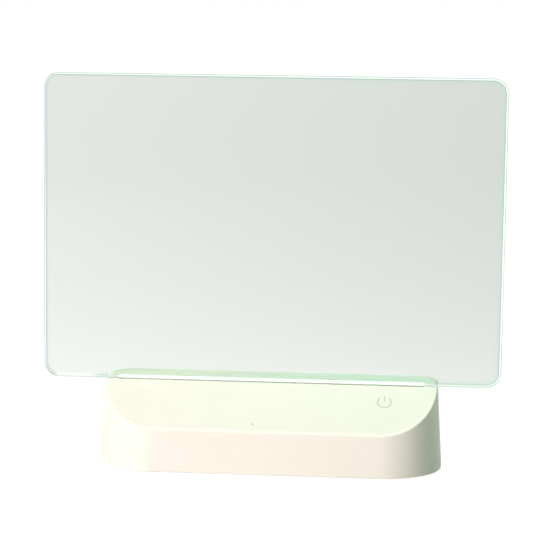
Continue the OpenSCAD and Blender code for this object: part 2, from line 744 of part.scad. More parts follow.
acrylic_panel();
upper_housing();
bottom_cover();
cover_screws();
rubber_feet();
led_carrier();
carrier_screws();
led_board();
leds();
led_leads();
touch_board();
touch_chip();
touch_spring();
touch_screws();
touch_leads();
control_board();
control_chips();
control_capacitors();
control_screws();
wire_sockets();
indicator_led();
light_pipe();
charge_board();
charge_chips();
charge_screws();
usb_shell();
usb_tongue();
charge_leads();
battery_cell();
battery_tabs();
battery_guard_board();
battery_pads();
battery_leads();
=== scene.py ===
"""Looks of an edge-lit memo board: a clear writing panel that stands in a white wedge-shaped base.

Sizes are in millimetres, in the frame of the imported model: +X right, +Y to the back, +Z up. Shapes are
computed as whole arrays and scaled to metres when they become meshes.
"""

import logging
import math
from dataclasses import dataclass, field, replace
from enum import Enum
from typing import Sequence

import bpy
import numpy as np
from mathutils import Matrix, Vector


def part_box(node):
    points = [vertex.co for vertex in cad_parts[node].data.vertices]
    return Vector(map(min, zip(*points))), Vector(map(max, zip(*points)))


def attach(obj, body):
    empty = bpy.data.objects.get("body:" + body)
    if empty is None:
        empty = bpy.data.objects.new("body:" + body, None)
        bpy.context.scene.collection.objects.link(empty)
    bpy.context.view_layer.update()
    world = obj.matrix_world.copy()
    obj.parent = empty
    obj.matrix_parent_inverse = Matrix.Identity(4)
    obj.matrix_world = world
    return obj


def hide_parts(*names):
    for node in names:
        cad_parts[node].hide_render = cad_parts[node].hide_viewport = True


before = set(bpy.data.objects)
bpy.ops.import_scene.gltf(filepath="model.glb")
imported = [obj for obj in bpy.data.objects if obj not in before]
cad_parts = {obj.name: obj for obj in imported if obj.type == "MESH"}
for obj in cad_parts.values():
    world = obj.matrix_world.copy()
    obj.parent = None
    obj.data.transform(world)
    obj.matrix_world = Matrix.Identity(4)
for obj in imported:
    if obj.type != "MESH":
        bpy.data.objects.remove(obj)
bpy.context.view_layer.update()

log = logging.getLogger("memo_board")
MM = 0.001
Colour = tuple[float, float, float]
Array = np.ndarray

# A level, and how far a mask's soft step reaches on each side of it.
Step = tuple[float, float]

# Points of a turned or tiered form: a radius or an inset, and a height or a drop.
Profile = tuple[tuple[float, float], ...]

# Middle values of a noise, over which a gloss or a colour goes from one end to the other.
GRAIN_SPAN = (0.3, 0.7)
CLOUD_SPAN = (0.35, 0.7)

# Octaves of a fine grain.
FINE = 3

# How far joined solids reach into each other, and how far cutters reach past a face.
OVERLAP = 0.05
CLEAR = 1

# Chords round a post or a bore.
ROUND_SIDES = 32

# Turns an outline of (y, z) that was carried along z, so that it is carried along x.
ACROSS = Matrix(((0, 0, 1, 0), (1, 0, 0, 0), (0, 1, 0, 0), (0, 0, 0, 1)))


class Body(Enum):
    """The two bodies that the pieces ride on."""

    BASE = "base"
    PANEL = "panel"


class Csg(Enum):
    """How a second solid changes the first one."""

    CUT = "DIFFERENCE"
    JOIN = "UNION"
    COMMON = "INTERSECT"


def node_box(node: str) -> tuple[Array, Array]:
    """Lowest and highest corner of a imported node, in millimetres.

    Args:
        node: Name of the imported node.

    Returns:
        The two corners.
    """
    low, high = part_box(node)
    return np.array(low) / MM, np.array(high) / MM


@dataclass(frozen=True)
class Shape:
    """A mesh on paper: points in millimetres, quads between them and larger flat faces."""

    points: Array
    quads: Array
    flats: tuple[Array, ...] = ()

    def placed(self, matrix: Matrix) -> "Shape":
        """The same shape, moved and turned by a rigid matrix."""
        m = np.array(matrix)
        return Shape(self.points @ m[:3, :3].T + m[:3, 3], self.quads, self.flats)

    def shifted(self, x: float, y: float, z: float) -> "Shape":
        """The same shape, moved by x, y and z."""
        return Shape(self.points + np.array([x, y, z]), self.quads, self.flats)

    def to_object(self, name: str) -> bpy.types.Object:
        """Makes a linked object of this shape, smooth where its faces meet at a small angle.

        Args:
            name: Name of the object and its mesh.

        Returns:
            The new object, at the origin.
        """
        mesh = bpy.data.meshes.new(name)
        mesh.from_pydata(self.points * MM, [], self.quads.tolist() + [f.tolist() for f in self.flats])
        obj = bpy.data.objects.new(name, mesh)
        bpy.context.scene.collection.objects.link(obj)
        smooth_by_angle(obj)
        return obj


def smooth_by_angle(obj: bpy.types.Object, degrees: float = 28) -> None:
    """Shades an object smooth and marks the edges that turn by more than an angle as sharp."""
    obj.data.shade_smooth()
    obj.data.set_sharp_from_angle(angle=math.radians(degrees))


def joined(shapes: Sequence[Shape]) -> Shape:
    """Several shapes as one.

    Args:
        shapes: The shapes, each with its own points.

    Returns:
        One shape that holds them all.
    """
    starts = np.cumsum([0] + [len(s.points) for s in shapes[:-1]])
    return Shape(
        np.concatenate([s.points for s in shapes]),
        np.concatenate([s.quads + n for s, n in zip(shapes, starts)]),
        tuple(f + n for s, n in zip(shapes, starts) for f in s.flats),
    )


def loft(rings: Array, capped: bool = True) -> Shape:
    """Closed rings joined one to the next.

    Each quad lies between points i and i + 1 of ring j and the same two of ring j + 1.

    Args:
        rings: Points as (rings, points of a ring, 3), counter-clockwise seen from the last ring's side.
        capped: Whether the first and last ring are filled.

    Returns:
        The lofted shape, with its faces outwards.
    """
    count, n = rings.shape[:2]
    j, i = np.meshgrid(np.arange(count - 1), np.arange(n), indexing="ij")
    a, b = j * n + i, j * n + (i + 1) % n
    quads = np.stack([a, b, b + n, a + n], -1).reshape(-1, 4)
    ring = np.arange(n)
    caps = (ring[::-1], ring + n * (count - 1)) if capped else ()
    return Shape(rings.reshape(-1, 3), quads, caps)


def arc(centre: Sequence[float], radius: float, start: float, end: float, steps: int) -> Array:
    """Points on a circle's arc: the centre plus the radius times the cosine and sine of each angle.

    Args:
        centre: Centre of the circle.
        radius: Radius of the circle.
        start: First angle in degrees.
        end: Last angle in degrees.
        steps: Number of chords.

    Returns:
        Points as (steps + 1, 2).
    """
    a = np.radians(np.linspace(start, end, steps + 1))
    return np.array(centre) + radius * np.stack([np.cos(a), np.sin(a)], -1)


def lathe(profile: Array, steps: int = 48) -> Shape:
    """A profile turned about Z: each [radius, height] becomes a ring of that radius at that height.

    Args:
        profile: Points as (rings, 2), from the bottom to the top.
        steps: Points round each ring.

    Returns:
        The turned solid, closed by its first and last ring.
    """
    a = np.linspace(0, 2 * np.pi, steps, endpoint=False)
    r, z = profile[:, :1], profile[:, 1:]
    return loft(np.stack([r * np.cos(a), r * np.sin(a), z + 0 * a], -1))


def rod(radius: float, low: float, high: float, steps: int = ROUND_SIDES) -> Shape:
    """A round post or bore about Z, as ribs and cutters need it."""
    return lathe(np.array([[radius, low], [radius, high]]), steps)


def prism(outline: Array, low: float, high: float) -> Shape:
    """A flat outline carried straight up from one height to another.

    Args:
        outline: Points as (n, 2), counter-clockwise.
        low: Height of the lower face.
        high: Height of the upper face.

    Returns:
        The closed solid.
    """
    rings = [np.column_stack([outline, np.full(len(outline), z)]) for z in (low, high)]
    return loft(np.stack(rings))


def block(low: Sequence[float], high: Sequence[float]) -> Shape:
    """A box between two corners, as cutters and ribs need it."""
    (x0, y0, z0), (x1, y1, z1) = low, high
    return prism(np.array([[x0, y0], [x1, y0], [x1, y1], [x0, y1]]), z0, z1)


def rounded_outline(width: float, height: float, radius: float, steps: int = 8) -> Array:
    """Outline of a rectangle with round corners, centred on the origin: four quarter circles in turn.

    Args:
        width: Size along x.
        height: Size along y.
        radius: Radius of the corners.
        steps: Chords of each corner.

    Returns:
        Points as (n, 2), counter-clockwise.
    """
    x, y = width / 2 - radius, height / 2 - radius
    corners = [((x, y), 0), ((-x, y), 90), ((-x, -y), 180), ((x, -y), 270)]
    return np.concatenate([arc(c, radius, a, a + 90, steps) for c, a in corners])


def carve(name: str, start: Shape, steps: Sequence[tuple[Csg, Shape]]) -> bpy.types.Object:
    """Joins solids to a first one and cuts others out of it, in turn.

    Args:
        name: Name of the finished object.
        start: The first solid.
        steps: What is done to it and with which solid.

    Returns:
        The finished object, with the result in its mesh.
    """
    obj = start.to_object(name)
    for action, shape in steps:
        tool = shape.to_object(name + "_tool")
        step = obj.modifiers.new(action.name, "BOOLEAN")
        step.operation = action.value
        step.solver = "EXACT"
        step.use_self = True
        step.object = tool
        made = bpy.data.meshes.new_from_object(obj.evaluated_get(bpy.context.evaluated_depsgraph_get()))
        obj.modifiers.clear()
        old, obj.data = obj.data, made
        bpy.data.meshes.remove(old)
        bpy.data.objects.remove(tool)
    obj.data.name = name
    smooth_by_angle(obj)
    return obj


class Signal:
    """An output socket. Arithmetic on it adds Math nodes to its tree."""

    def __init__(self, tree: "Tree", socket: bpy.types.NodeSocket) -> None:
        """Wraps one output socket of a tree."""
        self.tree = tree
        self.socket = socket

    def math(self, operation: str, *values: "Signal | float") -> "Signal":
        """A Math node on these values, which may be signals or plain numbers."""
        return self.tree.node("ShaderNodeMath", {"operation": operation}, dict(enumerate(values)))

    def __add__(self, other: "Signal | float") -> "Signal":
        """Sum."""
        return self.math("ADD", self, other)

    __radd__ = __add__

    def __sub__(self, other: "Signal | float") -> "Signal":
        """Difference."""
        return self.math("SUBTRACT", self, other)

    def __rsub__(self, other: float) -> "Signal":
        """Difference, with this signal taken away."""
        return self.math("SUBTRACT", other, self)

    def __mul__(self, other: "Signal | float") -> "Signal":
        """Product."""
        return self.math("MULTIPLY", self, other)

    __rmul__ = __mul__

    def __truediv__(self, other: "Signal | float") -> "Signal":
        """Quotient."""
        return self.math("DIVIDE", self, other)

    def __pow__(self, other: float) -> "Signal":
        """Power."""
        return self.math("POWER", self, other)

    def __abs__(self) -> "Signal":
        """Size without its sign."""
        return self.math("ABSOLUTE", self)

    def at_least(self, other: "Signal | float") -> "Signal":
        """The larger of two values."""
        return self.math("MAXIMUM", self, other)

    def at_most(self, other: "Signal | float") -> "Signal":
        """The smaller of two values."""
        return self.math("MINIMUM", self, other)

    def ramp(self, low: float, high: float, start: float = 0, end: float = 1) -> "Signal":
        """A smooth step: start below low, end above high, and eased between them.

        Args:
            low: Value at which the step begins.
            high: Value at which it ends.
            start: Result below the step.
            end: Result above it.

        Returns:
            The eased value.
        """
        settings = {"interpolation_type": "SMOOTHSTEP"}
        inputs = {"Value": self, "From Min": low, "From Max": high, "To Min": start, "To Max": end}
        return self.tree.node("ShaderNodeMapRange", settings, inputs)

    def above(self, level: float, soft: float) -> "Signal":
        """1 above a level and 0 below it, eased over soft on both sides."""
        return self.ramp(level - soft, level + soft)

    def below(self, level: float, soft: float) -> "Signal":
        """1 below a level and 0 above it, eased over soft on both sides."""
        return self.ramp(level - soft, level + soft, 1, 0)

    def out(self, name: str) -> "Signal":
        """Another output of the same node."""
        return Signal(self.tree, self.socket.node.outputs[name])


class Tree:
    """Builds one node tree, node by node."""

    def __init__(self, nodes: bpy.types.NodeTree) -> None:
        """Starts from an empty tree."""
        self.tree = nodes
        self.tree.nodes.clear()

    def node(
        self, kind: str, settings: dict | None = None, inputs: dict | None = None, output: int = 0
    ) -> Signal:
        """Adds any node.

        Args:
            kind: The node's type.
            settings: Values of the node's own properties, set first.
            inputs: Values or signals for its sockets, by name or number.
            output: Number of the output that is returned.

        Returns:
            The chosen output.
        """
        made = self.tree.nodes.new(kind)
        for name, value in (settings or {}).items():
            setattr(made, name, value)
        for name, value in (inputs or {}).items():
            if isinstance(value, Signal):
                self.tree.links.new(value.socket, made.inputs[name])
            else:
                made.inputs[name].default_value = value
        return Signal(self, made.outputs[output]) if made.outputs else Signal(self, None)

    def place(self) -> Signal:
        """Object coordinates, in metres."""
        return self.node("ShaderNodeTexCoord").out("Object")

    def axes(self) -> tuple[Signal, Signal, Signal]:
        """Object coordinates split into x, y and z, in metres."""
        split = self.node("ShaderNodeSeparateXYZ", None, {0: self.place()})
        return split.out("X"), split.out("Y"), split.out("Z")

    def axes_mm(self) -> list[Signal]:
        """Object coordinates split into x, y and z, in millimetres."""
        return [a * (1 / MM) for a in self.axes()]

    def noise(self, size: float, detail: float = 2, stretch: Colour = (1, 1, 1)) -> Signal:
        """Soft noise from 0 to 1.

        Args:
            size: Width of its grains in millimetres.
            detail: Its octaves.
            stretch: Scale along each axis, where less than 1 draws the grains out.

        Returns:
            The noise.
        """
        spot = self.node("ShaderNodeMapping", None, {"Vector": self.place(), "Scale": stretch})
        inputs = {"Vector": spot, "Scale": 1 / (size * MM), "Detail": detail}
        return self.node("ShaderNodeTexNoise", None, inputs)

    def blend(self, share: "Signal | float", first: "Signal | Colour", second: "Signal | Colour") -> Signal:
        """A colour between two, first at share 0 and second at share 1."""
        full = [c if isinstance(c, Signal) else (*c, 1) for c in (first, second)]
        return self.node("ShaderNodeMix", {"data_type": "RGBA"}, {0: share, 6: full[0], 7: full[1]}, 2)

    def bump(self, height: Signal, depth: float) -> Signal:
        """Normals of a surface raised by depth millimetres where height is 1."""
        return self.node("ShaderNodeBump", None, {"Height": height, "Distance": depth * MM, "Strength": 1})

    def surface(self, inputs: dict) -> Signal:
        """A Principled shader with these inputs."""
        return self.node("ShaderNodeBsdfPrincipled", None, inputs)

    def finish(self, shader: Signal) -> None:
        """Sends a shader to the material's output."""
        self.node("ShaderNodeOutputMaterial", None, {"Surface": shader})


@dataclass(frozen=True)
class Finish:
    """A finish that any piece can wear. Each kind draws its own nodes."""

    name: str

    def draw(self, tree: Tree) -> Signal:
        """The shader of this finish."""
        raise NotImplementedError

    def material(self) -> bpy.types.Material:
        """The material of this finish, made once.

        Returns:
            The material.
        """
        own = self.name + "_finish"
        if own not in bpy.data.materials:
            made = bpy.data.materials.new(own)
            made.use_nodes = True
            tree = Tree(made.node_tree)
            tree.finish(self.draw(tree))
        return bpy.data.materials[own]

    def dress(self, obj: bpy.types.Object) -> bpy.types.Object:
        """Gives an object this finish alone.

        Args:
            obj: The object.

        Returns:
            The same object.
        """
        obj.data.materials.clear()
        obj.data.materials.append(self.material())
        return obj


@dataclass(frozen=True)
class MouldedPlastic(Finish):
    """Satin moulded plastic: a spark-eroded grain, faint flow clouds and a little change of gloss."""

    colour: Colour
    cloud: Colour
    gloss: tuple[float, float] = (0.36, 0.46)
    grain: float = 0.45
    depth: float = 0.006
    cloud_size: float = 38

    def tint(self, tree: Tree) -> Signal:
        """The colour, with its clouds."""
        return tree.blend(tree.noise(self.cloud_size).ramp(*CLOUD_SPAN), self.colour, self.cloud)

    def draw(self, tree: Tree) -> Signal:
        """Grain in the bump and the gloss, clouds in the colour.

        Args:
            tree: The tree to add to.

        Returns:
            The shader.
        """
        grain = tree.noise(self.grain, FINE)
        return tree.surface({
            "Base Color": self.tint(tree),
            "Roughness": grain.ramp(*GRAIN_SPAN, *self.gloss),
            "Normal": tree.bump(grain, self.depth),
            "IOR": 1.5,
        })


@dataclass(frozen=True)
class RimHighlightPlastic(MouldedPlastic):
    """Moulded plastic of the wedge, painted paler along its round rim as a painted highlight.

    The depth under the walls is that of the plan: the corner radius less the distance from the corner's
    centre, less the draft's share of the height. The depth under the top is the height that is missing
    to the land, or to the slope in front of it. The rim is where both are small.
    """

    # Centre's x and y and radius of the corners.
    front: tuple[float, float, float] = (0, 0, 0)
    rear: tuple[float, float, float] = (0, 0, 0)
    low: float = 0
    top: float = 0
    ridge: float = 0
    lean: float = 0
    fall: float = 0
    # Paler colour of the rim: a painted highlight.
    pale: Colour = (0.98, 0.975, 0.91)
    rim_outer: Step = (0.3, 0.2)
    rim_inner: Step = (1.45, 0.45)
    rim_foot: Step = (1.45, 0.25)

    def tint(self, tree: Tree) -> Signal:
        """The clouded colour, and the paler one over the rim, which is a painted highlight.

        Args:
            tree: The tree to add to.

        Returns:
            The colour.
        """
        x, y, z = tree.axes_mm()

        def under_wall(corner: tuple[float, float, float], past: Signal) -> Signal:
            """Depth under a wall, from a corner's centre and radius and the way past the centre."""
            return corner[2] - ((abs(x) - corner[0]).at_least(0) ** 2 + past.at_least(0) ** 2) ** 0.5

        walls = under_wall(self.front, self.front[1] - y).at_most(under_wall(self.rear, y - self.rear[1]))
        depth = walls - (z - self.low) * self.lean
        under_top = self.top - (self.ridge - y).at_least(0) * self.fall - z
        # Painted highlight: the rim's colour is paler.
        rim = depth.above(*self.rim_outer) * depth.below(*self.rim_inner) * under_top.below(*self.rim_foot)
        return tree.blend(rim, super().tint(tree), self.pale)


@dataclass(frozen=True)
class ClearSheet(Finish):
    """Clear cast sheet with painted light: mint glow towards the outline and a lit band above the slot.

    The distance to the outline is that of a rectangle with round corners: how far a point lies outside
    the inner rectangle of the corners' centres, taken from the corner radius. From the outline inwards
    come a painted dark corner line, a painted bright strip, a painted dark line and a painted mint glow
    that fades. From the foot upwards come a painted shadow line, a painted lit band above the slot and
    painted green shade where the land shows behind it. The clear field carries a painted reflection.
    """

    half_width: float
    middle: float
    bottom: float
    top: float
    corner: float
    lit_half: float
    land_half: float
    # Painted light and shade: tints of a painted reflection, painted highlight, dark lines and shadow,
    # painted shade of the land behind, and the painted glow that edges and foot give off, though the
    # sheet is no lamp.
    dark: Colour = (0.635, 0.665, 0.648)
    pale: Colour = (0.872, 0.885, 0.862)
    edge: Colour = (0.58, 0.72, 0.645)
    line: Colour = (0.48, 0.60, 0.53)
    strip: Colour = (0.77, 0.84, 0.80)
    painted_strip_glow: Colour = (0.13, 0.155, 0.145)
    painted_left_glow: Colour = (0.50, 0.53, 0.515)
    painted_pale_beside: Colour = (0.98, 0.985, 0.955)
    painted_land_green: Colour = (0.80, 0.90, 0.80)
    painted_land_mint: Colour = (0.72, 0.87, 0.82)
    painted_foot_shadow: Colour = (0.43, 0.475, 0.44)
    painted_foot_glow: Colour = (0.40, 0.46, 0.44)
    painted_edge_glow: Colour = (0.24, 0.30, 0.275)
    shadow_tint: Colour = (0.9, 0.94, 0.91)
    # Share of the pale tint of the painted reflection in the middle, and its change to the right,
    # downwards and with the square.
    tone_shares: tuple[float, float, float, float] = (0.40, -0.20, 0.115, 0.105)
    tone_span: float = 77
    # Painted highlight, painted dark lines and painted glow fades along the outline, as distances inside
    # it.
    corner_line: float = 0.5
    strip_end: float = 1.45
    line_end: float = 2.1
    soft: float = 0.15
    edge_fade: tuple[float, float] = (-0.9, 6.5)
    fade_shift: float = 1.2
    parallax: float = 0.15
    left_line: float = 0.2
    left_zone: tuple[float, float] = (-0.985, -0.97)
    middle_soft: float = 0.5
    edge_skin: Step = (0.07, 0.05)
    corner_soft: float = 2
    # Painted lines and bands of the foot (shadow line, lit band, shade of the land behind), as heights
    # above the lower edge or distances across.
    slot_soft: float = 1.5
    land_soft: float = 0.5
    dark_top: Step = (0.6, 0.1)
    lit_top: Step = (2.05, 0.25)
    unlit_top: Step = (3.5, 1.5)
    green_foot: Step = (2.1, 0.2)
    far_heights: tuple[float, float] = (7.1, 2.6)
    far_bend: tuple[float, float] = (-8, 0.5)
    far_soft: float = 0.7
    mint_span: tuple[float, float] = (-0.7, 0.7)
    beside_start: Step = (8, 2)
    beside_end: Step = (9.5, 5.5)
    beside_foot: Step = (0.75, 0.15)
    beside_top: Step = (2.7, 0.5)
    beside_share: float = 0.8
    haze: float = 0.8
    gloss: tuple[float, float] = (0.015, 0.04)

    def depth_inside(self, x: Signal, z: Signal) -> Signal:
        """Distance from a point of the sheet to its outline, in millimetres.

        Args:
            x: Place across the sheet, in millimetres.
            z: Height, in millimetres.

        Returns:
            The distance, positive inside.
        """
        centre, half = (self.bottom + self.top) / 2, (self.top - self.bottom) / 2
        over_x = abs(x) - (self.half_width - self.corner)
        over_z = abs(z - centre) - (half - self.corner)
        outside = (over_x.at_least(0) ** 2 + over_z.at_least(0) ** 2) ** 0.5
        return self.corner - outside - over_x.at_least(over_z).at_most(0)

    def tone(self, tree: Tree, across: Signal, z: Signal) -> Signal:
        """Painted reflection over the clear field, whose pale share grows to the left and with the way down
        and its square.

        Args:
            tree: The tree to add to.
            across: Place across the sheet, from -1 to 1.
            z: Height, in millimetres.

        Returns:
            The colour.
        """
        start, to_right, fall, curve = self.tone_shares
        down = ((self.bottom + self.top) / 2 - z) / self.tone_span
        share = start + across * to_right + down * fall + down * down * curve
        # Painted reflection: paler to the left and downwards.
        return tree.blend(share, self.dark, self.pale)

    def foot(self, tree: Tree, body: Signal, x: Signal, up: Signal) -> Signal:
        """Lays the painted lines and bands of the foot over a tint: a painted lit band, painted light
        beside the land, painted shade of the land behind and a painted shadow line.

        Args:
            tree: The tree to add to.
            body: The tint so far.
            x: Place across the sheet, in millimetres.
            up: Height above the sheet's lower edge, in millimetres.

        Returns:
            The colour.
        """
        from_land, past_left = abs(x) - self.land_half, x + self.half_width
        over_land = from_land.below(-self.land_soft, self.land_soft)
        far_edge = from_land.ramp(*self.far_bend, *self.far_heights)
        green = over_land * up.above(*self.green_foot) * (up - far_edge).below(0, self.far_soft)
        tint = tree.blend((x / self.half_width).ramp(*self.mint_span), self.painted_land_green, self.painted_land_mint)
        gap, gap_soft = self.beside_end
        beside = past_left.above(*self.beside_start) * x.below(-self.land_half - gap, gap_soft)
        beside = beside * up.above(*self.beside_foot) * up.below(*self.beside_top) * self.beside_share
        # Painted lit band, painted light beside the land, painted land shade and a painted shadow line.
        body = tree.blend(over_land * up.below(*self.lit_top), body, self.strip)
        body = tree.blend(green, tree.blend(beside, body, self.painted_pale_beside), tint)
        return tree.blend(over_land * up.below(*self.dark_top), body, self.painted_foot_shadow)

    def draw(self, tree: Tree) -> Signal:
        """Glass that lets lamps through, with painted highlights, painted shade and painted glow near the
        outline and the foot.

        Args:
            tree: The tree to add to.

        Returns:
            The shader.
        """
        x, y, z = tree.axes_mm()
        inside, across, up = self.depth_inside(x, z), x / self.half_width, z - self.bottom
        # Painted glow, highlight strip and dark lines along the outline, over the painted reflection.
        at_left = across.ramp(*self.left_zone, 1, 0)
        seen = inside + (1 - across) * self.parallax
        past_corner = (inside - at_left * self.left_line).above(self.corner_line, self.soft)
        past_strip, past_line = (seen.above(end, self.soft) for end in (self.strip_end, self.line_end))
        fade = (inside + (1 - across) * self.fade_shift).ramp(*self.edge_fade)
        body = tree.blend(fade, self.edge, self.tone(tree, across, z))
        body = tree.blend(past_strip, self.strip, tree.blend(past_line, self.line, body))
        body = tree.blend(past_corner, self.line, body)
        # Painted glow from strip, edges and foot, given off as emission though the sheet is no lamp.
        over_slot = abs(x).below(self.lit_half, self.slot_soft)
        strip = past_corner * (1 - past_strip) * (1 - at_left * y.above(self.middle, self.middle_soft))
        strip = strip * (1 - over_slot * up.below(*self.unlit_top))
        glow = tree.blend(strip, (0, 0, 0), tree.blend(at_left, self.painted_strip_glow, self.painted_left_glow))
        on_edge = inside.below(*self.edge_skin) * up.above(self.corner, self.corner_soft)
        lit = over_slot * up.above(*self.dark_top) * up.below(*self.lit_top)
        glass = tree.surface({
            "Base Color": self.foot(tree, body, x, up),
            "Roughness": tree.noise(self.haze).ramp(*GRAIN_SPAN, *self.gloss),
            "IOR": 1.49,
            "Transmission Weight": 1.0,
            "Emission Color": tree.blend(lit, tree.blend(on_edge, glow, self.painted_edge_glow), self.painted_foot_glow),
            "Emission Strength": 1.0,
        })
        through = tree.node("ShaderNodeBsdfTransparent", None, {"Color": (*self.shadow_tint, 1)})
        lamps = tree.node("ShaderNodeLightPath").out("Is Shadow Ray")
        return tree.node("ShaderNodeMixShader", None, {0: lamps, 1: glass, 2: through})


@dataclass(frozen=True)
class Rubber(Finish):
    """Matt moulded rubber with a fine grain and a dusty bloom."""

    colour: Colour = (0.055, 0.055, 0.055)
    bloom: Colour = (0.10, 0.10, 0.098)
    grain: float = 0.35
    depth: float = 0.02
    gloss: tuple[float, float] = (0.72, 0.88)
    bloom_size: float = 4
    bloom_span: tuple[float, float] = (0.4, 0.7)

    def draw(self, tree: Tree) -> Signal:
        """Grain in the bump, bloom in the colour.

        Args:
            tree: The tree to add to.

        Returns:
            The shader.
        """
        grain = tree.noise(self.grain, FINE)
        bloom = tree.noise(self.bloom_size).ramp(*self.bloom_span)
        return tree.surface({
            "Base Color": tree.blend(bloom, self.colour, self.bloom),
            "Roughness": grain.ramp(*GRAIN_SPAN, *self.gloss),
            "Normal": tree.bump(grain, self.depth),
        })


@dataclass(frozen=True)
class Plated(Finish):
    """Plated or drawn metal, with fine lines along one axis."""

    colour: Colour
    shade: Colour
    stretch: Colour = (1, 1, 0.08)
    gloss: tuple[float, float] = (0.22, 0.38)
    line_width: float = 0.12
    depth: float = 0.003
    tarnish_size: float = 3
    tarnish_span: tuple[float, float] = (0.35, 0.75)

    def draw(self, tree: Tree) -> Signal:
        """Lines in the gloss and the bump, a little tarnish in the colour.

        Args:
            tree: The tree to add to.

        Returns:
            The shader.
        """
        lines = tree.noise(self.line_width, FINE, self.stretch)
        tarnish = tree.noise(self.tarnish_size).ramp(*self.tarnish_span)
        return tree.surface({
            "Base Color": tree.blend(tarnish, self.colour, self.shade),
            "Metallic": 1.0,
            "Roughness": lines.ramp(*GRAIN_SPAN, *self.gloss),
            "Normal": tree.bump(lines, self.depth),
        })


@dataclass(frozen=True)
class SolderMask(Finish):
    """Circuit board lacquer over a faint glass weave and copper lands.

    The weave's height is the product of two sine waves, one along each side of the board.
    """

    colour: Colour
    copper: Colour
    weave: float = 0.7
    depth: float = 0.004
    gloss: tuple[float, float] = (0.30, 0.40)
    coat: float = 0.3
    land_size: float = 7
    land_edge: tuple[float, float] = (0.5, 0.52)

    def draw(self, tree: Tree) -> Signal:
        """Weave in the bump, broad copper lands in the colour.

        Args:
            tree: The tree to add to.

        Returns:
            The shader.
        """
        x, y, _ = (a * (2 * math.pi / (self.weave * MM)) for a in tree.axes())
        weave = x.math("SINE", x) * y.math("SINE", y)
        lands = tree.noise(self.land_size, 0).ramp(*self.land_edge)
        return tree.surface({
            "Base Color": tree.blend(lands, self.colour, self.copper),
            "Roughness": weave.ramp(-1, 1, *self.gloss),
            "Normal": tree.bump(weave, self.depth),
            "Coat Weight": self.coat,
        })


@dataclass(frozen=True)
class Glossy(Finish):
    """Smooth coloured plastic, such as wire insulation, a shrink sleeve or a cast resin."""

    colour: Colour
    shade: Colour
    gloss: tuple[float, float] = (0.28, 0.40)
    depth: float = 0.008
    wave_size: float = 1.6
    cloud_size: float = 9

    def draw(self, tree: Tree) -> Signal:
        """Slow waves in the bump, a cloud in the colour.

        Args:
            tree: The tree to add to.

        Returns:
            The shader.
        """
        wave = tree.noise(self.wave_size)
        cloud = tree.noise(self.cloud_size).ramp(*CLOUD_SPAN)
        return tree.surface({
            "Base Color": tree.blend(cloud, self.colour, self.shade),
            "Roughness": wave.ramp(*GRAIN_SPAN, *self.gloss),
            "Normal": tree.bump(wave, self.depth),
        })


COVER_WHITE = MouldedPlastic("cover_white", (0.86, 0.85, 0.80), (0.84, 0.83, 0.78), (0.42, 0.54), 0.6, 0.01)
CARRIER_WHITE = MouldedPlastic("carrier_white", (0.85, 0.85, 0.84), (0.82, 0.82, 0.81), (0.40, 0.50))
SOCKET_WHITE = MouldedPlastic("socket_white", (0.88, 0.87, 0.82), (0.85, 0.84, 0.79))
# Grey of the fill in the power symbol's grooves: painted shade.
GROOVE_SHADE_GREY = MouldedPlastic("groove_shade_grey", (0.64, 0.655, 0.60), (0.60, 0.615, 0.56), (0.40, 0.50), 0.3, 0.004)
CHIP_BLACK = MouldedPlastic("chip_black", (0.03,) * 3, (0.045,) * 3, (0.45, 0.6), 0.15, 0.01)
PAD_FOAM = MouldedPlastic("pad_foam", (0.13, 0.13, 0.14), (0.19, 0.19, 0.20), (0.85, 0.95), 0.5, 0.15)
FOOT_RUBBER = Rubber("foot_rubber")
SCREW_STEEL = Plated("screw_steel", (0.58, 0.58, 0.59), (0.48, 0.48, 0.49))
SOCKET_STEEL = Plated("socket_steel", (0.72, 0.72, 0.73), (0.64, 0.64, 0.64), (1, 0.06, 1))
TAB_NICKEL = Plated("tab_nickel", (0.72, 0.70, 0.66), (0.62, 0.60, 0.56), (1, 0.08, 1))
SPRING_PLATED = Plated("spring_plated", (0.80, 0.64, 0.28), (0.70, 0.54, 0.22))
CAPACITOR_CAN = Plated("capacitor_can", (0.62, 0.64, 0.68), (0.54, 0.56, 0.60))
LED_BOARD_WHITE = SolderMask("led_board_white", (0.90, 0.90, 0.88), (0.84, 0.84, 0.81))
BOARD_GREEN = SolderMask("board_green", (0.03, 0.24, 0.11), (0.05, 0.33, 0.15))
BOARD_BLUE = SolderMask("board_blue", (0.03, 0.09, 0.32), (0.05, 0.14, 0.42))
LED_PHOSPHOR = Glossy("led_phosphor", (0.95, 0.89, 0.55), (0.93, 0.84, 0.46))
LIGHT_PIPE = Glossy("light_pipe_clear", (0.60, 0.61, 0.58), (0.52, 0.53, 0.50), (0.10, 0.18), 0.002)
WIRE_RED = Glossy("wire_red", (0.62, 0.04, 0.04), (0.52, 0.03, 0.03))
WIRE_YELLOW = Glossy("wire_yellow", (0.80, 0.60, 0.07), (0.72, 0.52, 0.06))
CELL_WRAP = Glossy("cell_wrap", (0.09, 0.22, 0.60), (0.07, 0.18, 0.52), (0.22, 0.32), 0.03)

CARRIED = {
    CARRIER_WHITE: ("led_carrier",),
    LED_BOARD_WHITE: ("led_board",),
    WIRE_RED: ("led_leads", "charge_leads", "battery_leads"),
    WIRE_YELLOW: ("touch_leads",),
    BOARD_GREEN: ("touch_board", "control_board", "battery_guard_board"),
    BOARD_BLUE: ("charge_board",),
    LIGHT_PIPE: ("light_pipe",),
    TAB_NICKEL: ("battery_tabs",),
    PAD_FOAM: ("battery_pads",),
}


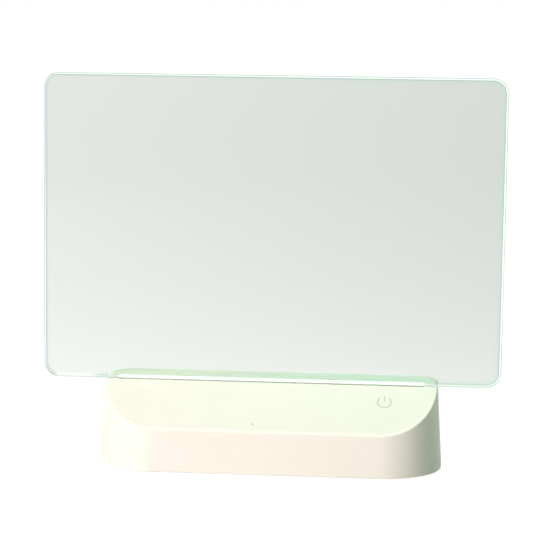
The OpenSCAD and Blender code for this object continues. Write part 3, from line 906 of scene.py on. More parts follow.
def add_piece(
    obj: bpy.types.Object, finish: Finish, body: Body, nodes: Sequence[str] = ()
) -> bpy.types.Object:
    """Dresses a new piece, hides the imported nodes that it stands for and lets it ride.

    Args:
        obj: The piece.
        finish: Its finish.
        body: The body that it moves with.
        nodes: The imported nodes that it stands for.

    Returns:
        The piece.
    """
    finish.dress(obj)
    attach(obj, body.value)
    if nodes:
        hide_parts(*nodes)
    log.info("%s: %d faces, on %s", obj.name, len(obj.data.polygons), body.value)
    return obj


@dataclass
class WedgeHousing:
    """Moulded shell of the base: drafted walls, a sloping top, a level land and a round rim.

    The plan is a rectangle with large front and smaller rear corners. At each place of the plan the wall's
    section climbs the drafted wall and turns over the rim onto the top.
    """

    front_h: float = 27
    draft: float = 3.5
    front_corner_r: float = 40
    rear_corner_r: float = 18
    rim_r: float = 1.6
    wall: float = 2.2
    roof: float = 2.2
    slot_gap: float = 0.3
    slot_end_land: float = 9.2
    slot_end_gap: float = 0.4
    slot_end_wall: float = 2
    guide_t: float = 2
    guide_gap: float = 0.1
    lip_r: float = 0.35
    floor_h: float = 2.5
    boss_r: float = 3.5
    front_boss: tuple[float, float] = (58, 10)
    rear_boss: tuple[float, float] = (14.5, 11)
    mid_boss_in: float = 9
    cover_screw_r: float = 1.5
    cover_screw_l: float = 10
    carrier_boss_r: float = 2.6
    carrier_boss_in: float = 1
    carrier_screw_r: float = 1
    carrier_screw_l: float = 7
    pipe_collar_r: float = 2.8
    pipe_collar_l: float = 8
    pipe_body_r: float = 1.5
    pipe_r: float = 0.6
    pipe_gap: float = 0.2
    socket_room: float = 0.33
    socket_reach: float = 12
    socket_flat: float = 0.05
    snug: float = 0.05
    foot_edge_r: float = 0.5
    inner_rim_r: float = 0.4
    colour: Colour = (0.90, 0.885, 0.82)
    cloud: Colour = (0.885, 0.87, 0.80)
    front_steps: int = 40
    rear_steps: int = 18
    rim_steps: int = 10
    inner_rim_steps: int = 2
    foot_steps: int = 3
    lip_steps: int = 4
    low: Array = field(init=False)
    high: Array = field(init=False)

    def __post_init__(self) -> None:
        """Reads the base's box and the panel's faces, and works out the slope from them."""
        self.low, self.high = node_box("upper_housing")
        panel_low, panel_high = node_box("acrylic_panel")
        self.lean = math.tan(math.radians(self.draft))
        self.stretch = 1 / math.cos(math.radians(self.draft))
        self.ridge_h = self.high[2] - self.low[2]
        self.slot_y0 = panel_low[1] - self.slot_gap
        self.slot_y1 = panel_high[1] + self.slot_gap
        rim_y = self.low[1] + self.front_h * self.lean
        self.slope = math.atan((self.ridge_h - self.front_h) / (self.slot_y0 - rim_y))
        self.tab_half = self.high[0] - self.ridge_h * self.lean - self.slot_end_land
        self.slot_half = self.tab_half + self.slot_end_gap

    def plan(self, inset: float, ridge: float, ridge_inset: float) -> Array:
        """The base's outline, from the middle of the front round the right side, the back and the left.

        Args:
            inset: How far the outline is drawn in.
            ridge: Place of the ridge, where one vertex has to lie.
            ridge_inset: How far the section draws that vertex in.

        Returns:
            Points as (n, 4): x, y and the inward normal's x and y.
        """
        side = self.high[0]
        front_c = np.array([side - self.front_corner_r, self.low[1] + self.front_corner_r])
        rear_c = np.array([side - self.rear_corner_r, self.high[1] - self.rear_corner_r])
        front_r, rear_r = self.front_corner_r - inset, self.rear_corner_r - inset
        bend = math.degrees(math.asin((front_c[1] - ridge) / (front_r - ridge_inset)))
        front = arc(front_c, front_r, -90, -bend, self.front_steps)
        tangent = np.array([[side - inset, front_c[1]]])
        rear = arc(rear_c, rear_r, 0, 90, self.rear_steps)
        inward = np.concatenate([(front_c - front) / front_r, [[-1, 0]], (rear_c - rear) / rear_r])
        half = np.column_stack([np.concatenate([front, tangent, rear]), inward])
        return np.concatenate([half, half[::-1] * [-1, 1, -1, 1]])

    def wedge(
        self, inset: float, drop: float, rim: float, steps: int, below: float, foot: float = 0
    ) -> Shape:
        """The wedge, or the same form drawn inwards.

        In front of the ridge the top falls with the slope, so at each vertex the section's top height and
        its rise inwards follow from the vertex's place and normal. The rim's circle touches the wall and
        the top.

        Args:
            inset: How far the walls are drawn in.
            drop: How far the top is lowered.
            rim: Radius of the rim.
            steps: Steps round the rim.
            below: How far the walls run on below the lower edge.
            foot: Radius along the lower edge.

        Returns:
            The closed solid.
        """
        h = self.ridge_h - drop
        ridge = self.slot_y0 + drop * math.tan(self.slope / 2)
        plan = self.plan(inset, ridge, self.lean * (h - rim) + rim * self.stretch)
        n, at = len(plan), self.front_steps
        index = np.arange(n)
        level = (index >= at) & (index <= n - 1 - at)
        fall = math.tan(self.slope)
        top = np.where(level, h, h - (ridge - plan[:, 1]) * fall)
        rise = np.where(level, 0, fall * plan[:, 3])
        centre_z = (top + rim * (rise * self.stretch - np.sqrt(1 + rise**2))) / (1 - rise * self.lean)
        centre_s = self.lean * centre_z + rim * self.stretch
        turn = np.linspace(0, 1, steps + 1)[:, None]
        first, last = math.pi - math.radians(self.draft), math.pi / 2 + np.arctan(rise)
        angle = first + (last - first) * turn
        s = centre_s + rim * np.cos(angle)
        z = centre_z + rim * np.sin(angle)
        if foot:
            under = np.radians(np.linspace(270, 180, self.foot_steps + 1))[:, None]
            foot_s, foot_z = foot * (1 + np.cos(under)), foot * (1 + np.sin(under))
        else:
            foot_s, foot_z = np.full((1, 1), -below * self.lean), np.full((1, 1), -below)
        s = np.concatenate([foot_s + 0 * centre_s, s])
        z = np.concatenate([foot_z + 0 * centre_s, z])
        rings = np.stack([plan[:, 0] + plan[:, 2] * s, plan[:, 1] + plan[:, 3] * s, self.low[2] + z], -1)
        skin = loft(rings, capped=False)
        start = n * (len(rings) - 1)
        land = start + index[at : n - at]
        incline = start + np.concatenate([index[: at + 1], index[n - 1 - at :]])
        return Shape(skin.points, skin.quads, (index[::-1], land, incline))

    def slot_cutter(self) -> Shape:
        """The slot, flared into a small round lip at its mouth: the flare follows a quarter circle.

        Returns:
            The cutter.
        """
        a = np.linspace(0, math.pi / 2, self.lip_steps + 1)
        flare = self.lip_r * (1 - np.cos(a))
        height = self.high[2] - self.lip_r + self.lip_r * np.sin(a)
        flare = np.concatenate([[0], flare, flare[-1:]])
        height = np.concatenate([[self.guide_low() - CLEAR], height, [self.high[2] + CLEAR]])
        x, y0, y1 = self.slot_half + flare, self.slot_y0 - flare, self.slot_y1 + flare
        corners = np.stack([np.stack([-x, x, x, -x], -1), np.stack([y0, y0, y1, y1], -1)], -1)
        return loft(np.concatenate([corners, np.repeat(height[:, None, None], 4, 1)], -1))

    def guide_low(self) -> float:
        """Height of the lower end of the guide walls, just above the light bar's board."""
        return node_box("led_board")[1][2] + self.guide_gap

    def land_half(self) -> float:
        """Half the width of the flat land, between the rims of both sides."""
        return self.high[0] - self.lean * (self.ridge_h - self.rim_r) - self.rim_r * self.stretch

    def boss_places(self) -> list[tuple[float, float]]:
        """Places of the cover screws: a front pair, a pair in the rear corners and one in the middle.

        Returns:
            The x and y of each.
        """
        front, rear = self.low[1] + self.front_boss[1], self.high[1] - self.rear_boss[1]
        side = self.high[0] - self.rear_boss[0]
        pairs = [(s * x, y) for x, y in ((self.front_boss[0], front), (side, rear)) for s in (-1, 1)]
        return pairs + [(0, self.high[1] - self.mid_boss_in)]

    def carrier_places(self) -> list[tuple[float, float]]:
        """Places of the two screws that hold the light bar's carrier."""
        x = self.slot_half + self.slot_end_wall + self.carrier_boss_r - self.carrier_boss_in
        return [(s * x, (self.slot_y0 + self.slot_y1) / 2) for s in (-1, 1)]

    def pipe_levels(self) -> tuple[Array, float]:
        """Where the light pipe stands under the slope.

        Returns:
            The middle of the pipe and the height of its shoulder.
        """
        low, high = node_box("light_pipe")
        middle = (low + high) / 2
        top = self.high[2] - (self.slot_y0 - middle[1]) * math.tan(self.slope)
        under = self.roof / math.cos(self.slope) + self.pipe_body_r * math.tan(self.slope)
        return middle, top - under - self.pipe_gap

    def ribs(self) -> Shape:
        """Guide walls of the slot, the posts that the screws go into and the light pipe's collar.

        Returns:
            The solids, still too high for the roof.
        """
        end = self.slot_half + self.slot_end_wall
        high = self.high[2]
        front, back = self.slot_y0 - self.guide_t, self.slot_y1 + self.guide_t
        guides = block((-end, front, self.guide_low()), (end, back, high))
        floor, bar = self.low[2] + self.floor_h, node_box("led_board")[0][2]
        posts = [rod(self.boss_r, floor, high).shifted(x, y, 0) for x, y in self.boss_places()]
        posts += [rod(self.carrier_boss_r, bar, high).shifted(x, y, 0) for x, y in self.carrier_places()]
        pipe, shoulder = self.pipe_levels()
        collar = rod(self.pipe_collar_r, shoulder - self.pipe_collar_l, high).shifted(pipe[0], pipe[1], 0)
        return joined([guides, collar, *posts])

    def pilots(self) -> Shape:
        """Pilot holes of the screws, and the light pipe's stepped bore.

        Returns:
            The cutters.
        """
        floor, bar = self.low[2] + self.floor_h, node_box("led_board")[0][2]
        cover = rod(self.cover_screw_r + self.snug, floor - CLEAR, floor + self.cover_screw_l)
        carrier = rod(self.carrier_screw_r + self.snug, bar - CLEAR, bar + self.carrier_screw_l)
        holes = [cover.shifted(x, y, 0) for x, y in self.boss_places()]
        holes += [carrier.shifted(x, y, 0) for x, y in self.carrier_places()]
        pipe, shoulder = self.pipe_levels()
        body, tip = self.pipe_body_r + self.snug, self.pipe_r + self.snug
        steps = np.array([[body, 0], [body, shoulder], [tip, shoulder], [tip, self.high[2]]])
        return joined([*holes, lathe(steps, ROUND_SIDES).shifted(pipe[0], pipe[1], 0)])

    def on_slope(self, x: float, down: float) -> Matrix:
        """Frame on the slope: x to the right, y up the slope and z out of it.

        Args:
            x: Place of the frame's origin across the base.
            down: Its distance down the slope from the ridge.

        Returns:
            The matrix from that frame to the object's.
        """
        ridge = Matrix.Translation((x, self.slot_y0, self.high[2]))
        return ridge @ Matrix.Rotation(self.slope, 4, "X") @ Matrix.Translation((0, -down, 0))

    def socket_cutter(self) -> Shape:
        """Opening for the charging socket, a stadium that stands a little clear of the sleeve.

        Returns:
            The cutter.
        """
        low, high = node_box("usb_shell")
        size, centre = (high - low) + 2 * self.socket_room, (low + high) / 2
        outline = rounded_outline(size[0], size[2], size[2] / 2 - self.socket_flat)
        back = Matrix.Translation((centre[0], self.high[1] + CLEAR, centre[2]))
        return prism(outline, 0, self.socket_reach).placed(back @ Matrix.Rotation(math.pi / 2, 4, "X"))

    def build(self, posts: Sequence[Shape], grooves: Sequence[Shape]) -> bpy.types.Object:
        """Makes the shell.

        Args:
            posts: Hollow posts that stand under the slope.
            grooves: Cutters of the signs that are sunk into the slope.

        Returns:
            The finished piece.
        """
        skin = self.wedge(0, 0, self.rim_r, self.rim_steps, 0, self.foot_edge_r)
        wall, inner_rim = self.wall * self.stretch, (self.inner_rim_r, self.inner_rim_steps)
        cavity = self.wedge(wall, self.roof, *inner_rim, CLEAR)
        middle = self.wedge(wall / 2, self.roof / 2, *inner_rim, 0)
        ribs = carve("ribs", middle, [(Csg.COMMON, self.ribs())])
        inner = shape_of(ribs)
        bpy.data.objects.remove(ribs)
        steps = [(Csg.CUT, cavity), (Csg.JOIN, inner), (Csg.CUT, self.slot_cutter())]
        steps += [(Csg.CUT, self.socket_cutter()), (Csg.CUT, self.pilots())]
        steps += [(Csg.JOIN, post) for post in posts]
        steps += [(Csg.CUT, groove) for groove in grooves]
        shell = carve("wedge_shell", skin, steps)
        even = shell.modifiers.new("even_normals", "WEIGHTED_NORMAL")
        even.keep_sharp = True
        return add_piece(shell, self.finish(), Body.BASE, ["upper_housing"])

    def finish(self) -> Finish:
        """The shell's plastic, which knows where the rim runs and paints a highlight along it.

        Returns:
            The finish.
        """
        side, front_r, rear_r = self.high[0], self.front_corner_r, self.rear_corner_r
        return RimHighlightPlastic(
            "housing_white", self.colour, self.cloud,
            front=(side - front_r, self.low[1] + front_r, front_r),
            rear=(side - rear_r, self.high[1] - rear_r, rear_r),
            low=self.low[2], top=self.high[2], ridge=self.slot_y0,
            lean=self.lean, fall=math.tan(self.slope),
        )


def shape_of(obj: bpy.types.Object) -> Shape:
    """An object's mesh as a shape.

    Args:
        obj: The object, at the origin.

    Returns:
        The shape, in millimetres.
    """
    mesh = obj.data
    points = np.empty(len(mesh.vertices) * 3)
    mesh.vertices.foreach_get("co", points)
    faces = tuple(np.array(p.vertices) for p in mesh.polygons)
    return Shape(points.reshape(-1, 3) / MM, np.empty((0, 4), int), faces)


@dataclass
class TouchKey:
    """The power symbol sunk into the slope above the touch spring: an open ring and a bar."""

    housing: WedgeHousing
    x: float = 75
    down: float = 14.3
    ring_r: float = 4.4
    stroke: float = 0.85
    gap_angle: float = 38
    bar_low: float = 0.6
    bar_high: float = 5.4
    bar_flat: float = 0.02
    groove: float = 0.35
    shade_fill: float = 0.15
    shade_fill_gap: float = 0.06
    post_u: float = 10
    post_r: float = 2.2
    post_h: float = 4
    post_edge: float = 0.15
    pilot_r: float = 0.95
    pilot_l: float = 2.4
    pilot_tip: tuple[float, float] = (0.05, 0.3)
    board_t: float = 1
    board_up: float = -2
    ring_steps: int = 56

    def frame(self, u: float = 0) -> Matrix:
        """Frame on the slope in the middle of the key, or u to the right of it."""
        return self.housing.on_slope(self.x + u, self.down)

    def under(self) -> float:
        """Height of the touch board's lower face in that frame."""
        return -self.housing.roof - self.post_h - self.board_t

    def strokes(self, width: float, low: float, high: float) -> list[Shape]:
        """The ring and the bar between two heights of the slope's frame.

        Args:
            width: Width of a stroke.
            low: Lower height.
            high: Upper height.

        Returns:
            The two solids, in the object's frame.
        """
        place = self.frame()
        a0, a1 = 90 + self.gap_angle, 90 + 360 - self.gap_angle
        outer = arc((0, 0), self.ring_r + width / 2, a0, a1, self.ring_steps)
        inner = arc((0, 0), self.ring_r - width / 2, a1, a0, self.ring_steps)
        middle = (self.bar_low + self.bar_high) / 2
        bar = rounded_outline(width, self.bar_high - self.bar_low, width / 2 - self.bar_flat) + [0, middle]
        return [prism(line, low, high).placed(place) for line in (np.concatenate([outer, inner]), bar)]

    def posts(self) -> list[Shape]:
        """Two hollow posts that hold the touch board under the slope: an outer wall up and a bore down.

        Returns:
            The two solids, in the object's frame.
        """
        roof, edge = self.housing.roof, self.post_edge
        foot = -roof - self.post_h
        end = foot + self.pilot_l
        tip_r, tip_l = self.pilot_tip
        bore = [[tip_r, end], [self.pilot_r, end - tip_l], [self.pilot_r, foot]]
        wall = [[self.post_r - edge, foot], [self.post_r, foot + edge], [self.post_r, -roof / 2]]
        post = lathe(np.array(bore + wall), ROUND_SIDES)
        return [post.placed(self.frame(s * self.post_u)) for s in (-1, 1)]

    def grooves(self) -> list[Shape]:
        """Cutters for the symbol."""
        return self.strokes(self.stroke, -self.groove, CLEAR)

    def build(self) -> bpy.types.Object:
        """Lays a grey fill into the grooves: painted shade inside the engraved grooves.

        Returns:
            The finished piece.
        """
        # The grey fill stands for the shade in the grooves: painted shade.
        width, low = self.stroke - self.shade_fill_gap, -self.groove - OVERLAP
        shade_fill = joined(self.strokes(width, low, -self.groove + self.shade_fill))
        return add_piece(shade_fill.to_object("power_mark"), GROOVE_SHADE_GREY, Body.BASE)


@dataclass
class WritingPanel:
    """Clear sheet with round corners and bevelled edges, and a tab that drops into the slot."""

    housing: WedgeHousing
    corner_r: float = 10
    bevel: float = 0.6
    tab_h: float = 14
    corner_steps: int = 24

    def outline(self, inset: float) -> Array:
        """The sheet's outline, drawn in by an inset.

        Args:
            inset: How far the outline is drawn in.

        Returns:
            Points as (n, 2), counter-clockwise seen from the front.
        """
        low, high = node_box("acrylic_panel")
        land = low[2] + self.tab_h
        x, r, tab = high[0] - self.corner_r, self.corner_r - inset, self.housing.tab_half - inset
        right = np.concatenate([
            [[tab, low[2] + inset], [tab, land + inset]],
            arc((x, land + self.corner_r), r, -90, 0, self.corner_steps),
            arc((x, high[2] - self.corner_r), r, 0, 90, self.corner_steps),
        ])
        return np.concatenate([right, right[::-1] * [-1, 1]])

    def build(self) -> bpy.types.Object:
        """Makes the sheet: the outline carried from the back face over both bevels to the front face.

        Returns:
            The finished piece.
        """
        low, high = node_box("acrylic_panel")
        front, back, bevel = low[1], high[1], self.bevel
        levels = [(back, bevel), (back - bevel, 0), (front + bevel, 0), (front, bevel)]
        rings = np.stack([np.insert(self.outline(inset), 1, y, 1) for y, inset in levels])
        sheet = loft(rings).to_object("writing_panel")
        finish = ClearSheet(
            "clear_acrylic", high[0], (front + back) / 2, low[2] + self.tab_h, high[2], self.corner_r,
            self.housing.tab_half, self.housing.land_half(),
        )
        return add_piece(sheet, finish, Body.PANEL, ["acrylic_panel"])


@dataclass
class Feet:
    """Rubber pads under the cover: a flat sole, a round edge and a shallow dish."""

    radius: float = 5
    edge_r: float = 0.55
    dish_r: float = 2.6
    dish: float = 0.25
    dish_tip: float = 0.3
    dish_bend: tuple[float, float] = (0.7, 0.8)
    inset: tuple[float, float] = (33, 15)
    edge_steps: int = 6

    def places(self) -> list[tuple[float, float]]:
        """Places of the four pads, counted in from the sides, the front and the back of the base."""
        x, y = node_box("upper_housing")[1][:2] - self.inset
        return [(s * x, t * y) for s in (-1, 1) for t in (-1, 1)]

    def build(self) -> bpy.types.Object:
        """Turns one pad and sets it at each place.

        Returns:
            The group, as one piece.
        """
        low, high = node_box("rubber_feet")
        bend_r, bend_h = self.dish_bend
        dish = [[self.dish_tip, self.dish], [self.dish_r * bend_r, self.dish * bend_h], [self.dish_r, 0]]
        edge = arc((self.radius - self.edge_r, self.edge_r), self.edge_r, -90, 0, self.edge_steps)
        pad = lathe(np.concatenate([dish, edge, [[self.radius, high[2]]]]))
        pads = joined([pad.shifted(*p, low[2]) for p in self.places()]).to_object("foot_pads")
        return add_piece(pads, FOOT_RUBBER, Body.BASE, ["rubber_feet"])


def tube(path: Array, axis: Sequence[float], radius: float, sides: int = 10) -> Shape:
    """A round section carried along a path.

    At each point the circle is spanned by the cross product of the path's direction with a fixed axis,
    and by the cross product of the direction with that.

    Args:
        path: Points as (n, 3).
        axis: A direction that the path never runs along.
        radius: Radius of the section.
        sides: Points round the section.

    Returns:
        The closed tube.
    """
    ahead = np.gradient(path, axis=0)
    ahead /= np.linalg.norm(ahead, axis=1, keepdims=True)
    out = np.cross(ahead, np.array(axis, float))
    out /= np.linalg.norm(out, axis=1, keepdims=True)
    over = np.cross(ahead, out)
    a = np.linspace(0, 2 * np.pi, sides, endpoint=False)[:, None]
    return loft(path[:, None] + radius * (np.cos(a) * out[:, None] + np.sin(a) * over[:, None]))


def tiers(outlines: Sequence[tuple[Array, float]]) -> Shape:
    """Outlines of equal length at given heights, joined in turn and closed at both ends."""
    return loft(np.stack([np.column_stack([line, np.full(len(line), z)]) for line, z in outlines]))


def corners_in(node: str, inset: float) -> list[tuple[float, float]]:
    """The four points that lie an inset in from the corners of a node's plan, the front ones first."""
    low, high = node_box(node)
    return [(x, y) for y in (low[1] + inset, high[1] - inset) for x in (low[0] + inset, high[0] - inset)]


def board_holes(inset: float = 3.5) -> dict[str, list[tuple[float, float]]]:
    """Places of the screws of the two boards on the cover: four, and two at the front of the second."""
    return {"control": corners_in("control_board", inset), "charge": corners_in("charge_board", inset)[:2]}


@dataclass(frozen=True)
class Screw:
    """One kind of screw: a domed head with a cross recess below z = 0, and a rolled thread above it.

    The thread's radius at a height and an angle follows a triangle wave of the height in pitches less the
    angle's share of a turn, and the tip tapers.
    """

    radius: float
    length: float
    head_r: float
    head_h: float
    pitch: float
    depth: float = 0.2
    steps: int = 16
    rings_a_pitch: int = 4
    tip: float = 0.3
    dome: Profile = (
        (0.03, -1), (0.5, -0.96), (0.8, -0.8), (0.95, -0.55), (1, -0.3), (1, -0.06), (0.97, 0)
    )
    cross: tuple[float, float, float] = (0.58, 0.15, 0.45)
    cross_taper: tuple[float, float] = (1.06, 0.8)
    cross_room: float = 0.2

    def blank(self) -> Shape:
        """Head and thread as one turned form.

        Returns:
            The solid.
        """
        a = np.linspace(0, 2 * np.pi, self.steps, endpoint=False)
        dome = np.array(self.dome) * [self.head_r, self.head_h]
        z = np.linspace(0, self.length, round(self.length / self.pitch) * self.rings_a_pitch + 1)[:, None]
        wave = np.abs(2 * ((z / self.pitch - a / (2 * np.pi)) % 1) - 1)
        tip = np.clip((self.length - z) / (2 * self.radius), self.tip, 1)
        r = np.concatenate([dome[:, :1] + 0 * a, self.radius * tip * (1 - self.depth * wave)])
        z = np.concatenate([dome[:, 1:], z]) + 0 * a
        return loft(np.stack([r * np.cos(a), r * np.sin(a), z], -1))

    def recess(self) -> list[tuple[Csg, Shape]]:
        """The cross in the head: two bars that narrow towards its floor.

        Returns:
            The cuts.
        """
        half, width, floor = np.array(self.cross) * [self.head_r, self.head_r, -self.head_h]
        bar = np.array([[-half, -width], [half, -width], [half, width], [-half, width]])
        wide, narrow = self.cross_taper
        cut = tiers([(bar * wide, -self.head_h - self.cross_room), (bar * narrow, floor)])
        return [(Csg.CUT, cut.placed(Matrix.Rotation(turn, 4, "Z"))) for turn in (0, math.pi / 2)]

    def build(self, name: str, places: Sequence[Matrix]) -> bpy.types.Object:
        """Makes one screw and sets it at each place.

        Args:
            name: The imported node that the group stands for.
            places: Frames of the screws.

        Returns:
            The group, as one piece.
        """
        one = carve(name + "_one", self.blank(), self.recess())
        shape = shape_of(one)
        bpy.data.objects.remove(one)
        group = joined([shape.placed(m) for m in places]).to_object(name.replace("screws", "fixings"))
        return add_piece(group, SCREW_STEEL, Body.BASE, [name])


@dataclass
class Fixings:
    """All screws of the base, each kind in the frames that its posts give."""

    housing: WedgeHousing
    key: TouchKey
    cover: Screw = Screw(1.5, 10, 2.8, 1.3, 1.0)
    carrier: Screw = Screw(1.0, 7, 1.8, 1.2, 0.7)
    touch: Screw = Screw(0.9, 3.4, 1.8, 1.2, 0.6)
    board: Screw = Screw(1.0, 4.55, 1.9, 1.3, 0.7)

    def build(self) -> None:
        """Makes the five groups. Screws of the boards point down, all others up."""
        at, over = Matrix.Translation, Matrix.Rotation(math.pi, 4, "X")
        cover_z = node_box("cover_screws")[0][2] + self.cover.head_h
        carrier_z = node_box("carrier_screws")[0][2] + self.carrier.head_h
        board_z = node_box("control_board")[1][2]
        bosses, ears, key = self.housing.boss_places(), self.housing.carrier_places(), self.key
        self.cover.build("cover_screws", [at((x, y, cover_z)) for x, y in bosses])
        self.carrier.build("carrier_screws", [at((x, y, carrier_z)) for x, y in ears])
        posts = [key.frame(s * key.post_u) @ at((0, 0, key.under())) for s in (-1, 1)]
        self.touch.build("touch_screws", posts)
        for board, spots in board_holes().items():
            self.board.build(board + "_screws", [at((x, y, board_z)) @ over for x, y in spots])


@dataclass(frozen=True)
class Chip:
    """A moulded chip: a body that narrows from its parting line, and bent leads on two sides."""

    length: float
    depth: float = 3.9
    height: float = 1.5
    lead_w: float = 0.4
    lead_t: float = 0.16
    lead_pitch: float = 1.27
    lead_reach: float = 0.75
    lead_root: float = 0.1
    lead_knee: float = 0.45
    lead_bend: float = 0.2
    lead_edge: float = 0.4
    parting: float = 0.45
    body_gap: float = 0.1
    foot: tuple[float, float] = (0.14, 0.1)
    shoulder: tuple[float, float] = (0.16, 0.95)
    top_inset: float = 0.3
    corner_r: float = 0.18
    corner_steps: int = 2

    def body(self) -> Shape:
        """Rounded outlines at the body's foot, parting line, shoulder and top.

        Returns:
            The body, standing on z = 0.
        """
        long, deep = self.length - self.body_gap, self.depth - 2 * self.lead_reach
        levels = [self.foot, (0, self.parting), self.shoulder, (self.top_inset, 1)]
        sizes = [(long - inset, deep - inset, self.corner_r, self.corner_steps) for inset, _ in levels]
        return tiers([(rounded_outline(*s), self.height * share) for s, (_, share) in zip(sizes, levels)])

    def leads(self) -> Shape:
        """Strips that leave the body at its parting line, bend down and end in a flat foot.

        Returns:
            Both rows.
        """
        foot, t, bend = self.depth / 2, self.lead_t, self.lead_bend * self.lead_t
        root = foot - self.lead_reach - self.lead_root
        under, knee = self.height * self.parting - t / 2, root + self.lead_knee
        lower = [[root, under], [knee - t, under], [knee, 0], [foot, 0]]
        upper = [[foot, t], [knee + t - bend, t], [knee - bend, under + t], [root, under + t]]
        strip = prism(np.array(lower + upper), -self.lead_w / 2, self.lead_w / 2).placed(ACROSS)
        count = int((self.length - self.lead_edge) / self.lead_pitch) + 1
        xs = (np.arange(count) - (count - 1) / 2) * self.lead_pitch
        row = joined([strip.shifted(x, 0, 0) for x in xs])
        return joined([row, row.placed(Matrix.Rotation(math.pi, 4, "Z"))])


@dataclass(frozen=True)
class Choke:
    """A square shielded coil: a block with round corners, and a turned drum that stands out of its top."""

    size: float
    height: float
    shoulder: float = 0.86
    corner: float = 0.16
    foot_bevel: float = 0.2
    top_bevel: float = 0.3
    drum: Profile = ((0.36, 0.8), (0.36, 0.97), (0.34, 1))
    corner_steps: int = 4
    drum_steps: int = 24

    def body(self) -> Shape:
        """Rounded outlines from the foot to the shoulder, and the drum as shares of size and height.

        Returns:
            The coil, standing on z = 0.
        """
        top, bevel, radius = self.height * self.shoulder, self.foot_bevel, self.size * self.corner
        levels = [(bevel, 0), (0, bevel), (0, top - bevel), (self.top_bevel, top)]
        sides = [(self.size - inset, z) for inset, z in levels]
        case = tiers([(rounded_outline(side, side, radius, self.corner_steps), z) for side, z in sides])
        drum = np.array(self.drum) * [self.size, self.height]
        return joined([case, lathe(drum, self.drum_steps)])


@dataclass(frozen=True)
class Can:
    """A capacitor can: a crimped foot, a straight wall and a top sunk inside its round edge."""

    radius: float = 2.5
    height: float = 7
    wall: Profile = ((0.9, 0), (1, 0.15), (1, 0.9), (0.91, 1.1), (0.91, 1.4), (1, 1.6))
    edge: Profile = ((0, 0.45), (0.13, 0.13), (0.45, 0), (0.6, 0.08), (0.7, 0.12), (2.45, 0.12))

    def body(self) -> Shape:
        """The can turned about Z: its wall in shares of the radius, its edge counted in and down.

        Returns:
            The can, standing on z = 0.
        """
        wall = np.array(self.wall) * [self.radius, 1]
        edge = np.array([self.radius, self.height]) - self.edge
        return lathe(np.concatenate([wall, edge]), ROUND_SIDES)


@dataclass(frozen=True)
class WireSocket:
    """A wire socket: a frame, a gap inside its mouth and the plug that fills it."""

    width: float = 7
    depth: float = 4.5
    height: float = 6
    corner_r: float = 0.3
    corner_steps: int = 2
    foot: Profile = ((0.2, 0), (0, 0.25))
    mouth: Profile = ((0, 0.2), (0.2, 0), (1.1, 0), (1.2, 1.2))
    plug: Profile = ((1.6, 1.2), (1.6, 0.15), (1.9, 0))

    def body(self) -> Shape:
        """Rounded outlines up the frame, down into its mouth and up the plug.

        Returns:
            The socket, standing on z = 0.
        """
        top = [(inset, self.height - down) for inset, down in self.mouth + self.plug]
        sizes = [(self.width - inset, self.depth - inset, z) for inset, z in [*self.foot, *top]]
        return tiers([(rounded_outline(w, d, self.corner_r, self.corner_steps), z) for w, d, z in sizes])


@dataclass(frozen=True)
class Led:
    """A lamp: a frame with a round-cornered window, and the phosphor that fills the window."""

    width: float = 3.5
    depth: float = 2.8
    height: float = 0.8
    corner_r: float = 0.2
    window_r: float = 0.5
    corner_steps: int = 3
    foot: tuple[float, float] = (0.1, 0.08)
    window: Profile = ((0.6, 0), (0.75, 0.16))
    dome: Profile = ((0.7, 0.14), (0.75, 0.09), (1.3, 0.03), (2.1, 0.01))

    def outline(self, inset: float, radius: float) -> Array:
        """The lamp's plan, made smaller by an inset, with corners of a radius."""
        return rounded_outline(self.width - inset, self.depth - inset, radius, self.corner_steps)

    def frame(self) -> Shape:
        """The frame: up its wall, over its top and down into the window.

        Returns:
            The frame, standing on z = 0.
        """
        inset, edge = self.foot
        wall = [(inset, 0), (0, edge), (0, self.height)]
        window = [(self.outline(i, self.window_r), self.height - down) for i, down in self.window]
        return tiers([(self.outline(i, self.corner_r), z) for i, z in wall] + window)

    def phosphor(self) -> Shape:
        """The flat dome that fills the window."""
        return tiers([(self.outline(i, self.corner_r), self.height - down) for i, down in self.dome])


